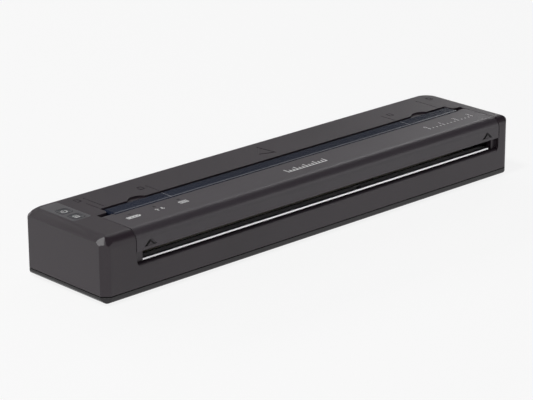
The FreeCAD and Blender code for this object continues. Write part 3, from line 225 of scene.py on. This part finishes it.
# %% Metals
def metal(name, hex_value, dark, light, roughness, mark_mm, stretch, depth_mm=0.004):
    material, tree, shader = start_material(name, hex_value, roughness, metallic=1.0)
    marks = grain(tree, mark_mm, stretch=stretch, detail=4.0)
    vary(tree, shader, marks.outputs["Fac"], dark, light)
    rough_between(tree, shader, marks.outputs["Fac"], roughness - 0.05, roughness + 0.08)
    relief(tree, shader, marks.outputs["Fac"], depth_mm, edge_mm=0.12)
    return material


steel_ground = metal("steel_ground_bright", "#E2E2E4", "#D8D8DA", "#ECECEE", 0.4, 0.5, (0.02, 1, 1))
steel_zinc = metal("steel_sheet_zinc_plated", "#8E9092", "#828486", "#9A9C9E", 0.38, 2.6, (1, 1, 1))
steel_turned = metal("steel_turned_pin", "#B8B8BA", "#ACACAE", "#C6C6C8", 0.22, 0.4, (1, 0.2, 0.2))
steel_black = metal("steel_black_oxide_screw", "#2C2C2E", "#262628", "#363638", 0.42, 0.5, (1, 1, 1))
steel_wire = metal("steel_music_wire", "#A4A4A6", "#969698", "#B4B4B6", 0.28, 0.3, (1, 1, 0.3))
motor_plate = metal("steel_drawn_motor_can", "#A6A7A9", "#9A9B9D", "#B2B3B5", 0.34, 0.8, (0.1, 1, 1))
tin_plate = metal("steel_tinned_shield", "#BBBCBE", "#B0B1B3", "#C8C9CB", 0.32, 1.8, (1, 1, 1))
nickel_shell = metal("steel_nickel_plated_shell", "#B2B2B0", "#A6A6A4", "#BEBEBC", 0.24, 0.6, (1, 0.3, 1))
brass_stamped = metal("brass_stamped", "#C8A352", "#BC9748", "#D4B062", 0.3, 0.5, (1, 1, 0.3))
aluminium_extruded = metal("aluminium_extruded", "#ACAEB1", "#A2A4A7", "#B8BABD", 0.36, 0.6, (0.02, 1, 1))
print("metals made")

# %% [markdown]
# The paper path has its own materials. The platen is silicone rubber ground round, the gears are natural
# acetal, the bushes are filled nylon and the print head is glazed alumina with a thin brown heater line.
# The boards are green FR4: below the solder mask the copper tracks stand up a little and look lighter.

# %% Paper path and electronics
platen_silicone = silicone("silicone_ground_platen", "#2B2B2F", "#262629", "#313136")
acetal = polished_plastic("acetal_moulded_gear", "#D6D3C8", "#CECBC0", "#DEDBD1", 0.38, 6.0)
nylon_bush = polished_plastic("nylon_moulded_bush", "#2D3A31", "#29352D", "#334137", 0.44, 4.0)
alumina = polished_plastic("alumina_glazed", "#D9D2C4", "#D2CBBC", "#E1DACD", 0.26, 7.0)
heater_glaze = polished_plastic("glass_glaze_heater", "#6B4A32", "#63442D", "#745139", 0.18, 5.0)
epoxy_black = polished_plastic("epoxy_moulded_chip", "#1A1A1C", "#171719", "#1F1F22", 0.45, 3.0)
pbt_black = polished_plastic("pbt_moulded_connector", "#18181A", "#151517", "#1D1D20", 0.4, 3.0)
cell_sleeve = polished_plastic("pvc_shrink_sleeve", "#2A3140", "#262D3B", "#303848", 0.34, 11.0)
clear_pipe = polished_plastic("polycarbonate_smoked_pipe", "#15171A", "#131518", "#191B1F", 0.3, 2.0)
clear_pipe.node_tree.nodes["Principled BSDF"].inputs["Transmission Weight"].default_value = 0.3
cable_polyester = polished_plastic("polyester_flat_cable", "#D5D5D0", "#CDCDC8", "#DEDEDA", 0.36, 3.0)


def solder_mask(name, mask, track):
    """Tracks 0.4 mm wide on a 1.2 mm grid, broken up by a coarse noise so that they end and turn."""
    material, tree, shader = start_material(name, mask, 0.32, ior=1.55)
    place = add(tree, "ShaderNodeTexCoord")
    waves = add(tree, "ShaderNodeTexWave", {"Vector": place.outputs["Object"], "Scale": 1 / (7.5 * MM),
                                            "Distortion": 0.0}, bands_direction="DIAGONAL")
    cloud = grain(tree, 5.0, detail=0.0)
    pick = add(tree, "ShaderNodeMath", {0: cloud.outputs["Fac"], 1: 0.52}, operation="GREATER_THAN")
    lines = add(tree, "ShaderNodeMath", {0: waves.outputs["Fac"], 1: 0.7}, operation="GREATER_THAN")
    tracks = add(tree, "ShaderNodeMath", {0: pick.outputs["Value"], 1: lines.outputs["Value"]},
                 operation="MULTIPLY")
    vary(tree, shader, tracks.outputs["Value"], mask, track, low=0.2, high=0.8)
    relief(tree, shader, tracks.outputs["Value"], 0.03)
    return material


board_green = solder_mask("fr4_green_solder_mask", "#1C4632", "#2C6247")
print("paper path and board finishes made")

# %% [markdown]
# The white marks are pad printed: a thin, slightly chalky ink that lets a little of the plastic's grain
# through. It is one material for every symbol.

# %% Printing ink
ink_white, ink_tree, ink_shader = start_material("ink_pad_printed_white", "#F0F0F0", 0.6, ior=1.5)
ink_grain = grain(ink_tree, 0.35, detail=3.0)
vary(ink_tree, ink_shader, ink_grain.outputs["Fac"], "#E6E6E6", "#F6F6F6", 0.3, 0.7)
relief(ink_tree, ink_shader, ink_grain.outputs["Fac"], 0.006)
# A plain black material for the thin plates behind the arrow inlays.
plate_black, plate_tree, plate_shader = start_material("black_backing_plate", "#0B0A0B", 0.8, ior=1.5)
plate_grain = grain(plate_tree, 0.3, detail=3.0)
vary(plate_tree, plate_shader, plate_grain.outputs["Fac"], "#0A090A", "#0D0C0D", 0.3, 0.7)
relief(plate_tree, plate_shader, plate_grain.outputs["Fac"], 0.005)
ink_grey, grey_tree, grey_shader = start_material("ink_pad_printed_grey", "#8C8C90", 0.6, ior=1.5)
grey_grain = grain(grey_tree, 0.35, detail=3.0)
vary(grey_tree, grey_shader, grey_grain.outputs["Fac"], "#828286", "#96969A", 0.3, 0.7)
print("ink made")

# %% [markdown]
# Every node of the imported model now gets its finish. The table says which piece is made of what. Nothing is
# moved or reshaped: only the material slots of the objects change.

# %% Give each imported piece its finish
FINISH = {
    abs_casing: ["upper_casing"],
    abs_cover: ["release_cover"],
    abs_base: ["base_cover", "battery_door"],
    abs_inner: ["cover_liner"],
    abs_guide_painted_light: ["paper_guide"],
    polycarbonate_navy: ["exit_guide"],
    panel_plate: ["panel_bezel"],
    key_silicone: ["power_key", "feed_key"],
    foot_rubber: ["rubber_feet"],
    steel_ground: ["tear_bar"],
    steel_zinc: ["chassis", "platen_bracket", "gear_plate"],
    steel_turned: ["cover_hinge_pins", "exit_guide_pins", "platen_shaft", "motor_shaft", "gear_stud",
                   "head_pivot_pins"],
    steel_black: ["casing_screws", "chassis_screws", "board_screws", "cover_screws", "motor_screws"],
    steel_wire: ["head_springs"],
    motor_plate: ["drive_motor"],
    tin_plate: ["radio_module"],
    nickel_shell: ["usb_socket"],
    brass_stamped: ["battery_contacts", "motor_pinion"],
    aluminium_extruded: ["head_heat_sink"],
    platen_silicone: ["platen_rubber"],
    acetal: ["platen_gear", "reduction_gear"],
    nylon_bush: ["platen_bushes"],
    alumina: ["head_ceramic"],
    epoxy_black: ["driver_cover", "board_chips", "paper_sensor", "key_switches"],
    pbt_black: ["power_jack", "cover_switch", "head_connector"],
    cell_sleeve: ["battery_pack"],
    clear_pipe: ["light_pipes"],
    cable_polyester: ["panel_ribbon"],
    board_green: ["main_board", "key_board", "light_board"],
}
dressed = set()
for material, names in FINISH.items():
    for name in names:
        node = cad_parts[name]
        node.data.materials.clear()
        node.data.materials.append(material)
        dressed.add(name)
print("dressed", len(dressed), "of", len(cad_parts), "left:", sorted(set(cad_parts) - dressed))

# %% [markdown]
# New pieces are built in mesh code. One function makes an object from points and faces, gives it a
# material and a body to ride on. Points come in millimetres. A second one closes a stack of
# rings, each with the same number of points, which is how a moulded cap or a turned part is drawn.

# %% Mesh helpers
def piece(name, points, faces, material, body, stands_for=(), smooth=False):
    mesh = bpy.data.meshes.new(name)
    mesh.from_pydata([Vector(p) * MM for p in points], [], faces)
    mesh.materials.append(material)
    made = bmesh.new()
    made.from_mesh(mesh)
    bmesh.ops.recalc_face_normals(made, faces=made.faces)
    for face in made.faces:
        face.smooth = smooth
    made.to_mesh(mesh)
    made.free()
    if smooth:
        mesh.set_sharp_from_angle(angle=math.radians(35))
    thing = bpy.data.objects.new(name, mesh)
    bpy.context.scene.collection.objects.link(thing)
    if stands_for:
        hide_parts(*stands_for)
    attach(thing, body)
    return thing


def stack(rings):
    """Points and faces of a closed stack of rings."""
    points = [p for ring in rings for p in ring]
    count = len(rings[0])
    faces = []
    for level_index in range(len(rings) - 1):
        low = level_index * count
        for i in range(count):
            j = (i + 1) % count
            faces.append((low + i, low + j, low + count + j, low + count + i))
    faces.append(tuple(range(count))[::-1])
    faces.append(tuple(range(len(points) - count, len(points))))
    return points, faces


def join_parts(parts):
    """Several (points, faces) pairs as one."""
    points, faces = [], []
    for more_points, more_faces in parts:
        start = len(points)
        points += more_points
        faces += [tuple(start + i for i in face) for face in more_faces]
    return points, faces


def rounded_square(x, y, z, half, corner, steps=6):
    ring = []
    for quarter in range(4):
        start = quarter * math.pi / 2
        centre_x = x + (half - corner) * (1 if quarter in (0, 3) else -1)
        centre_y = y + (half - corner) * (1 if quarter in (0, 1) else -1)
        for step in range(steps + 1):
            angle = start + step * math.pi / 2 / steps
            ring.append((centre_x + corner * math.cos(angle), centre_y + corner * math.sin(angle), z))
    return ring


def slab(outline_points, z0, z1):
    """A flat piece with the given outline between two heights."""
    return stack([[(x, y, z0) for x, y in outline_points], [(x, y, z1) for x, y in outline_points]])


print("mesh helpers ready")

# %% [markdown]
# The two keys are dished so that a fingertip finds them. Their top dips from a rounded rim to a flat floor,
# on which the symbol is printed. Below the panel each key keeps the flange that stops it from falling out,
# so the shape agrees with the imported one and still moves 0.4 mm.

# %% Dished keys
KEY_X = -116.3
KEYS = {"power_key": 13.0, "feed_key": 4.5}
KEY_LEVELS = [(3.6, 1.7, 26.65), (3.6, 1.7, 27.35), (3.2, 1.4, 27.35), (3.2, 1.4, 29.9), (3.13, 1.35, 30.06),
              (2.98, 1.3, 30.13), (2.8, 1.25, 30.1), (2.45, 1.2, 29.93), (2.1, 1.1, 29.84), (1.7, 1.0, 29.82)]
for name, y in KEYS.items():
    rings = [rounded_square(KEY_X, y, z, half, corner) for half, corner, z in KEY_LEVELS]
    points, faces = stack(rings)
    piece(name + "_dished", points, faces, key_silicone, name, [name], smooth=True)
print("keys made")

# %% [markdown]
# The power symbol is a broken ring with a bar; the feed symbol is a sheet with a folded corner. Both are
# drawn as flat outlines a few hundredths of a millimetre thick, just above the key's floor, as real ink is.

# %% Key symbols
def arc_band(x, y, inner, outer, start, end, steps=28):
    """Outline of part of a ring, angles in degrees."""
    turns = [math.radians(start + (end - start) * i / steps) for i in range(steps + 1)]
    far = [(x + outer * math.cos(a), y + outer * math.sin(a)) for a in turns]
    near = [(x + inner * math.cos(a), y + inner * math.sin(a)) for a in reversed(turns)]
    return far + near


def bar(x0, x1, y0, y1):
    return [(x0, y0), (x1, y0), (x1, y1), (x0, y1)]


def frame_bars(x0, x1, y0, y1, line):
    """A thin rectangular frame as four bars."""
    return [bar(x0, x1, y0, y0 + line), bar(x0, x1, y1 - line, y1), bar(x0, x0 + line, y0 + line, y1 - line),
            bar(x1 - line, x1, y0 + line, y1 - line)]


INK_THICK = 0.02


def print_marks(name, outlines, z, material, body):
    points, faces = join_parts([slab(o, z, z + INK_THICK) for o in outlines])
    return piece(name, points, faces, material, body)


KEY_FLOOR = 29.825
power_y = KEYS["power_key"]
feed_y = KEYS["feed_key"]
power_ring = arc_band(KEY_X, power_y - 0.15, 1.15, 1.5, 125, 415)
power_sign = [power_ring, bar(KEY_X - 0.17, KEY_X + 0.17, power_y + 0.1, power_y + 1.65)]
feed_sign = frame_bars(KEY_X - 1.15, KEY_X + 1.15, feed_y - 1.5, feed_y + 1.5, 0.32)
feed_sign.append([(KEY_X + 0.15, feed_y + 1.5), (KEY_X + 1.15, feed_y + 0.5), (KEY_X + 1.15, feed_y + 1.5)])
feed_sign.append(bar(KEY_X - 0.55, KEY_X + 0.5, feed_y - 0.65, feed_y - 0.35))
feed_sign.append(bar(KEY_X - 0.55, KEY_X + 0.5, feed_y + 0.05, feed_y + 0.35))
print_marks("power_symbol", power_sign, KEY_FLOOR, ink_white, "power_key")
print_marks("feed_symbol", feed_sign, KEY_FLOOR, ink_white, "feed_key")
print("key symbols made")

# %% [markdown]
# Beside the three small lights the cover carries a symbol each: a cell for the battery, a pair of arrows
# for data and a sheet for paper. At the middle and at the right end there is plain scale printing. It is
# pad printed on the flat top, so each mark lies at one height.

# %% Printed symbols on the cover
COVER_TOP = 30.005
LIGHTS = (-98.6, -84.4, -70.8)
SYMBOL_Y = -13.5


def cell_symbol(x, y):
    outlines = frame_bars(x - 3.6, x + 3.0, y - 1.2, y + 1.2, 0.45)
    outlines.append(bar(x + 3.1, x + 3.7, y - 0.55, y + 0.55))
    outlines += [bar(x - 2.85 + 1.8 * i, x - 1.35 + 1.8 * i, y - 0.5, y + 0.5) for i in range(3)]
    return outlines


def arrows_symbol(x, y):
    outlines = []
    for side, way in ((-1.5, 1), (1.5, -1)):
        centre = x + side
        outlines.append(bar(centre - 0.32, centre + 0.32, y - 1.25, y + 1.25))
        foot_y, tip_y = y + way * 0.2, y + way * 1.5
        outlines.append([(centre - 1.15, foot_y), (centre + 1.15, foot_y), (centre, tip_y)])
    return outlines


def sheet_symbol(x, y):
    outlines = frame_bars(x - 2.3, x + 2.3, y - 1.35, y + 1.35, 0.42)
    outlines += [bar(x - 1.5, x + 1.5, y - 0.6 + 0.8 * i, y - 0.2 + 0.8 * i) for i in range(2)]
    return outlines


light_marks = cell_symbol(LIGHTS[0] - 0.5, SYMBOL_Y) + arrows_symbol(LIGHTS[1], SYMBOL_Y)
light_marks += sheet_symbol(LIGHTS[2], SYMBOL_Y)
print_marks("light_symbols", light_marks, COVER_TOP, ink_white, "release_cover")

TICKS = 13
CENTRE_LEFT, CENTRE_STEP, CENTRE_HALF = -9.5, 2.0, 0.3
CENTRE_FOOT, CENTRE_SHORT, CENTRE_LONG, CENTRE_LINE = -15.8, -13.9, -12.4, 0.6
centre_marks = []
for i in range(TICKS):
    mark_x = CENTRE_LEFT + CENTRE_STEP * i
    tip = CENTRE_LONG if i % 3 == 0 else CENTRE_SHORT
    centre_marks.append(bar(mark_x - CENTRE_HALF, mark_x + CENTRE_HALF, CENTRE_FOOT, tip))
centre_right = CENTRE_LEFT + CENTRE_STEP * (TICKS - 1)
centre_marks.append(bar(CENTRE_LEFT - CENTRE_HALF, centre_right + CENTRE_HALF, CENTRE_FOOT - CENTRE_LINE,
                        CENTRE_FOOT))
print_marks("centre_scale", centre_marks, COVER_TOP, ink_white, "release_cover")

SCALE_LEFT, SCALE_STEP, SCALE_HALF = 84.0, 2.5, 0.22
SCALE_FOOT, SCALE_SHORT, SCALE_LONG = -16.4, -15.3, -14.4
STEPS_PER_NUMBER = 4
edge_marks = []
for i in range(TICKS):
    mark_x = SCALE_LEFT + SCALE_STEP * i
    tip = SCALE_LONG if i % STEPS_PER_NUMBER == 0 else SCALE_SHORT
    edge_marks.append(bar(mark_x - SCALE_HALF, mark_x + SCALE_HALF, SCALE_FOOT, tip))
print_marks("edge_scale", edge_marks, COVER_TOP, ink_white, "release_cover")


NUMBER_Y, NUMBER_TALL = -13.9, 2.3
FONT_BODY_SHARE = 1.35


def number_mark(name, text, x, y, height_mm):
    """A plain number, turned into a mesh so that it is stored like the other marks."""
    data = bpy.data.curves.new(name + "_curve", "FONT")
    data.body = text
    data.size = height_mm * MM * FONT_BODY_SHARE
    data.align_x = "CENTER"
    data.extrude = INK_THICK / 2 * MM
    writer = bpy.data.objects.new(name + "_writer", data)
    bpy.context.scene.collection.objects.link(writer)
    bpy.context.view_layer.update()
    shown = writer.evaluated_get(bpy.context.evaluated_depsgraph_get())
    mesh = bpy.data.meshes.new_from_object(shown)
    mesh.transform(Matrix.Translation(Vector((x, y, COVER_TOP + INK_THICK / 2)) * MM))
    mesh.materials.clear()
    mesh.materials.append(ink_white)
    bpy.data.objects.remove(writer)
    thing = bpy.data.objects.new(name, mesh)
    bpy.context.scene.collection.objects.link(thing)
    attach(thing, "release_cover")


for i in range(4):
    number_x = SCALE_LEFT + SCALE_STEP * STEPS_PER_NUMBER * i
    number_mark("scale_number_%d" % i, str(i), number_x, NUMBER_Y, NUMBER_TALL)
print("printed symbols made")

# %% [markdown]
# An arrow on the cover's front marks each end of the paper slot. Its moulded pocket holds a flat inlay that
# is a little smaller, so a dark line runs round it. The line is a thin black plate behind the inlay, nearly
# as large as the pocket. The inlay stays just below the surface.

# %% Arrow inlays
ARROWS = (-101.75, 112.6)
ARROW_FOOT, ARROW_RISE, ARROW_HALF = 21.0, 3.3, 3.6
INLAY_SHARE, PLATE_SHARE = 0.5, 0.94
PLATE_BACK, PLATE_FRONT = -27.105, -27.19
INLAY_BACK, INLAY_FRONT = -27.2, -27.45


def arrow_plates(share, back, front):
    """A flat triangle in each pocket, a share of the pocket's size, between two depths."""
    parts = []
    middle = ARROW_FOOT + ARROW_RISE / 3
    for x in ARROWS:
        corners = ((-ARROW_HALF, ARROW_FOOT), (ARROW_HALF, ARROW_FOOT), (0.0, ARROW_FOOT + ARROW_RISE))
        parts.append(stack([[(x + side * share, y, middle + (z - middle) * share) for side, z in corners]
                            for y in (back, front)]))
    return join_parts(parts)


points, faces = arrow_plates(PLATE_SHARE, PLATE_BACK, PLATE_FRONT)
piece("arrow_backing", points, faces, plate_black, "release_cover")
points, faces = arrow_plates(INLAY_SHARE, INLAY_BACK, INLAY_FRONT)
piece("arrow_inlays", points, faces, abs_casing, "release_cover")
print("arrow inlays made")

# %% [markdown]
# The flap carries two pale lines across it that show the place of narrower paper. They are printed on the
# polished surface and ride on the flap.

# %% Lines across the exit guide
GUIDE_LINES = (-70.0, 82.0)
LINE_HALF, LINE_FRONT, LINE_REAR = 0.14, -5.1, 2.2
guide_lines = [bar(x - LINE_HALF, x + LINE_HALF, LINE_FRONT, LINE_REAR) for x in GUIDE_LINES]
print_marks("guide_lines", guide_lines, COVER_TOP, ink_grey, "exit_guide")
print("guide lines made")

# %% [markdown]
# A turned or moulded round part is a profile spun about its axis. The feet get a domed rim and a shallow
# cup, and the screws a pan head with a cross cut into it, which is what one sees when the printer is turned
# over.

# %% Round parts
def spin(profile, x, y, steps=32):
    """Rings round an upright axis. The profile is a list of (radius, height)."""
    turns = [2 * math.pi * i / steps for i in range(steps)]
    rings = []
    for radius, z in profile:
        rings.append([(x + radius * math.cos(a), y + radius * math.sin(a), z) for a in turns])
    return stack(rings)


FOOT_PROFILE = [(2.2, 0.16), (2.35, 0.02), (2.5, 0.0), (2.95, 0.0), (3.2, 0.08), (3.35, 0.25), (3.4, 0.45),
                (3.4, 1.4), (0.4, 1.4)]
FOOT_X, FOOT_Y = 117.6, 19.6
feet = [spin(FOOT_PROFILE, FOOT_X * side_x, FOOT_Y * side_y) for side_x in (-1, 1) for side_y in (-1, 1)]
points, faces = join_parts(feet)
piece("rubber_feet_cupped", points, faces, foot_rubber, "casing", ["rubber_feet"], smooth=True)
print("feet made")

# %% [markdown]
# The cross recess is modelled by pulling the middle of the head inwards along a plus-shaped set of faces.
# Drawing the head as a small grid and lowering the points inside the plus keeps it one clean mesh.

# %% Screws
def screw_shape(x, y, face_z, way, head_radius, head_height, radius, length, steps=24, rings=6):
    """A pan-head screw. way is +1 when its head looks up and -1 when it looks down."""
    points, faces = [], []
    for ring in range(rings + 1):
        share = ring / rings
        r = head_radius * 0.94 * share
        for i in range(steps):
            angle = 2 * math.pi * i / steps
            across, along = r * math.cos(angle), r * math.sin(angle)
            in_cross = min(abs(across), abs(along)) < head_radius * 0.14 and r < head_radius * 0.62
            z = face_z - way * (head_height * 0.45 if in_cross else head_height * 0.12 * share * share)
            points.append((x + across, y + along, z))
    for ring in range(rings):
        for i in range(steps):
            j = (i + 1) % steps
            faces.append((ring * steps + i, ring * steps + j, (ring + 1) * steps + j, (ring + 1) * steps + i))
    tail = [(head_radius, head_height * 0.3), (head_radius, head_height), (radius, head_height),
            (radius, length - radius), (radius * 0.3, length)]
    for r, down in tail:
        start = len(points) - steps
        for i in range(steps):
            angle = 2 * math.pi * i / steps
            points.append((x + r * math.cos(angle), y + r * math.sin(angle), face_z - way * down))
        for i in range(steps):
            j = (i + 1) % steps
            faces.append((start + i, start + j, start + steps + j, start + steps + i))
    faces.append(tuple(range(len(points) - steps, len(points))))
    return points, faces


def screws(name, places, face_z, way, head, length, body):
    head_radius, head_height, radius = head
    parts = [screw_shape(x, y, face_z, way, head_radius, head_height, radius, length) for x, y in places]
    points, faces = join_parts(parts)
    piece(name + "_crosshead", points, faces, steel_black, body, [name], smooth=True)


CASING_SCREWS = ((-110.5, -23.1), (-45.0, -23.1), (45.0, -23.1), (104.04, -23.1), (-110.5, 23.1),
                 (118.0, 11.0))
CHASSIS_SCREWS = ((-92.06, -3.6), (-29.96, -3.6), (41.95, -3.6), (104.04, -3.6))
COVER_SCREWS = ((-98.9, -19.0), (-28.05, -19.0), (41.06, -19.0), (110.1, -19.0))
BOARD_SCREWS = ((-98.71, 10.6), (-62.01, 21.99), (-37.92, 21.99), (26.05, 10.6))
screws("casing_screws", CASING_SCREWS, 0.95, -1, (1.8, 0.9, 0.85), 9.85, "casing")
screws("chassis_screws", CHASSIS_SCREWS, 5.2, 1, (1.4, 0.6, 0.7), 2.8, "casing")
screws("board_screws", BOARD_SCREWS, 24.0, -1, (1.4, 0.6, 0.7), 2.8, "casing")
screws("cover_screws", COVER_SCREWS, 24.3, -1, (1.4, 0.6, 0.7), 3.0, "release_cover")
print("screws made")

# %% [markdown]
# The battery is three round cells in one shrink sleeve. The sleeve is tight round the cells and draws in a
# little where two of them meet. Its cross-section is a rounded square, so rings along the length with a
# slightly smaller size at each joint give the right shape.

# %% Battery sleeve
PACK_LEFT, PACK_LENGTH, PACK_SIDE = -84.8, 197.0, 18.6
PACK_Y, PACK_Z = 6.2 + PACK_SIDE / 2, 2.6 + PACK_SIDE / 2
CELL = PACK_LENGTH / 3


def pack_ring(x, half):
    square = rounded_square(PACK_Y, PACK_Z, 0.0, half, half * 0.64, steps=8)
    return [(x, y, z) for y, z, _ in square]


stations = [(0.0, 7.9), (0.5, 8.8), (1.4, 9.3)]
for cell_index in (1, 2):
    joint = cell_index * CELL
    stations += [(joint - 2.2, 9.3), (joint - 0.8, 9.1), (joint, 8.75), (joint + 0.8, 9.1), (joint + 2.2, 9.3)]
stations += [(PACK_LENGTH - 1.4, 9.3), (PACK_LENGTH - 0.5, 8.8), (PACK_LENGTH, 7.9)]
points, faces = stack([pack_ring(PACK_LEFT + along, half) for along, half in stations])
piece("battery_sleeve", points, faces, cell_sleeve, "casing", ["battery_pack"], smooth=True)
print("battery sleeve made")

# %% [markdown]
# The head's working line is a strip of glazed heater dots on the ceramic. It is under a millimetre wide and
# runs the whole width of the paper. It lies on the ceramic, so it is placed with the head's own two
# directions: along its face and outwards from the roller.

# %% Heater line on the print head
NIP_Y, NIP_Z = -6.7, 12.8699
ALONG = (math.sin(math.radians(60)), math.cos(math.radians(60)))
OUT = (math.cos(math.radians(60)), -math.sin(math.radians(60)))


def head_place(along, out):
    return (NIP_Y + along * ALONG[0] + out * OUT[0], NIP_Z + along * ALONG[1] + out * OUT[1])


def head_strip(x0, x1, along0, along1, out0, out1):
    corners = [head_place(along0, out0), head_place(along1, out0), head_place(along1, out1),
               head_place(along0, out1)]
    return stack([[(x0, y, z) for y, z in corners], [(x1, y, z) for y, z in corners]])


points, faces = head_strip(-101.0, 113.8, -0.45, 0.45, 0.27, 0.31)
piece("heater_line", points, faces, heater_glaze, "print_head")
points, faces = head_strip(-101.0, 113.8, 1.6, 3.9, 0.28, 0.31)
piece("head_electrode", points, faces, brass_stamped, "print_head")
print("heater line made")

# %% [markdown]
# The boards carry many small parts as well as the chips. A seeded draw scatters resistors and capacitors
# over the free parts of the main board's lower side. Each is a tiny body with two bright end caps.

# %% Small parts on the main board
random.seed(7)
BOARD_UNDER = 24.6
TAKEN = [(-72, -59, 10, 21), (-51, -42, 13.5, 21.5), (-37, -25, 11, 18), (1, 15, 12, 20.5), (-25, -7, 7.5, 21),
         (-108, -86, 7.5, 25), (-64, -60, 20, 24), (-40, -36, 20, 24), (24, 28, 8.5, 12.5)]
bodies_of_parts, caps_of_parts = [], []
tries = 0
while len(bodies_of_parts) < 44 and tries < 600:
    tries += 1
    x = random.uniform(-84.0, 28.0)
    y = random.uniform(8.8, 24.0)
    if any(x0 - 1.6 < x < x1 + 1.6 and y0 - 1.0 < y < y1 + 1.0 for x0, x1, y0, y1 in TAKEN):
        continue
    TAKEN.append((x - 1.0, x + 1.0, y - 0.6, y + 0.6))
    low = BOARD_UNDER - 0.6
    bodies_of_parts.append(slab(bar(x - 0.6, x + 0.6, y - 0.4, y + 0.4), low, BOARD_UNDER))
    caps_of_parts.append(slab(bar(x - 1.0, x - 0.6, y - 0.42, y + 0.42), low - 0.02, BOARD_UNDER))
    caps_of_parts.append(slab(bar(x + 0.6, x + 1.0, y - 0.42, y + 0.42), low - 0.02, BOARD_UNDER))
points, faces = join_parts(bodies_of_parts)
piece("board_small_parts", points, faces, epoxy_black, "casing")
points, faces = join_parts(caps_of_parts)
piece("board_small_caps", points, faces, tin_plate, "casing")
print("small parts:", len(bodies_of_parts))

# %% [markdown]
# Studio pictures of dark products use large soft lights and a white table that runs up into a white
# background. The top of the printer mirrors the white background behind it and the front mirrors the table,
# while the rounded edge between them mirrors the darker upper front of the studio, which is why that edge
# looks dark. Six area lamps and a dim world give that.

# %% Table and background
floor_material, floor_tree, floor_shader = start_material("table_matt_white", "#F2F2F2", 0.85)
paths = add(floor_tree, "ShaderNodeLightPath")
camera_or_gloss = add(floor_tree, "ShaderNodeMath",
                      {0: paths.outputs["Is Camera Ray"], 1: paths.outputs["Is Glossy Ray"]},
                      operation="MAXIMUM")
seen = add(floor_tree, "ShaderNodeMath",
           {0: camera_or_gloss.outputs["Value"], 1: paths.outputs["Is Transmission Ray"]},
           operation="MAXIMUM")
white = add(floor_tree, "ShaderNodeEmission", {"Color": (1, 1, 1, 1), "Strength": 1.0})
part_share = add(floor_tree, "ShaderNodeMath", {0: seen.outputs["Value"], 1: 0.86}, operation="MULTIPLY")
blend = add(floor_tree, "ShaderNodeMixShader",
            {"Fac": part_share.outputs["Value"], 1: floor_shader.outputs["BSDF"],
             2: white.outputs["Emission"]})
floor_tree.links.new(blend.outputs["Shader"], floor_tree.nodes["Material Output"].inputs["Surface"])

floor_mesh = bpy.data.meshes.new("table")
reach = 3.0
floor_mesh.from_pydata([(-reach, -reach, 0), (reach, -reach, 0), (reach, reach, 0), (-reach, reach, 0)],
                       [], [(0, 1, 2, 3)])
floor_mesh.materials.append(floor_material)
floor = bpy.data.objects.new("table", floor_mesh)
bpy.context.scene.collection.objects.link(floor)
floor.location.z = -0.0002

world = bpy.data.worlds.new("studio") if not bpy.context.scene.world else bpy.context.scene.world
bpy.context.scene.world = world
world.use_nodes = True
sky = world.node_tree
sky.nodes.clear()
sky_paths = add(sky, "ShaderNodeLightPath")
direction = add(sky, "ShaderNodeTexCoord")
parts = add(sky, "ShaderNodeSeparateXYZ", {"Vector": direction.outputs["Generated"]})
horizon = add(sky, "ShaderNodeMapRange",
              {"Value": parts.outputs["Z"], "From Min": 0.02, "From Max": 0.16, "To Min": 1.0,
               "To Max": 0.0})
gloss_low = add(sky, "ShaderNodeMath", {0: sky_paths.outputs["Is Glossy Ray"], 1: horizon.outputs["Result"]},
                operation="MULTIPLY")
straight = add(sky, "ShaderNodeMath",
               {0: sky_paths.outputs["Is Camera Ray"], 1: sky_paths.outputs["Is Transmission Ray"]},
               operation="MAXIMUM")
sees_white = add(sky, "ShaderNodeMath", {0: straight.outputs["Value"], 1: gloss_low.outputs["Value"]},
                 operation="MAXIMUM")
room = add(sky, "ShaderNodeBackground", {"Color": colour("#C8C8CA"), "Strength": 0.06})
white_room = add(sky, "ShaderNodeBackground", {"Color": (1, 1, 1, 1), "Strength": 1.0})
room_mix = add(sky, "ShaderNodeMixShader", {"Fac": sees_white.outputs["Value"], 1: room.outputs["Background"],
                                            2: white_room.outputs["Background"]})
add(sky, "ShaderNodeOutputWorld", {"Surface": room_mix.outputs["Shader"]})
print("table and background made")

# %% [markdown]
# The lamps are placed by where they stand and what they face. Two stand behind and to the right: they make
# the tops grow lighter towards the right end and light the tear bar. A low wide one behind lights the rear
# top and the left edge. A small one above the front left corner catches the small flats there. The last two
# fill the front and the left face. A lamp's power is written for its size, so moving one closer needs less
# power.

# %% Lamps
def softbox(name, place, target, width, tall, power):
    data = bpy.data.lights.new(name, "AREA")
    data.shape = "RECTANGLE"
    data.size = width
    data.size_y = tall
    data.energy = power
    lamp = bpy.data.objects.new(name, data)
    bpy.context.scene.collection.objects.link(lamp)
    lamp.location = place
    lamp.rotation_euler = (Vector(place) - Vector(target)).to_track_quat("Z", "Y").to_euler()
    return lamp


softbox("lamp_above", (0.95, 0.85, 1.0), (0, 0, 0), 0.8, 0.5, 1.8)
softbox("lamp_far_right", (1.7, 1.0, 0.75), (0, 0, 0.01), 0.5, 0.4, 2.6)
softbox("lamp_rear", (-0.1, 1.6, 0.62), (-0.05, 0, 0.02), 1.6, 0.25, 9.8)
softbox("lamp_corner", (-0.58, -0.06, 1.13), (-0.12, -0.02, 0.03), 0.2, 0.2, 6.4)
softbox("lamp_low", (1.0, -1.12, 0.39), (0, -0.025, 0.015), 0.5, 0.24, 1.8)
softbox("lamp_left", (-1.1, -1.0, 0.75), (0, 0, 0.01), 0.9, 0.7, 2.8)
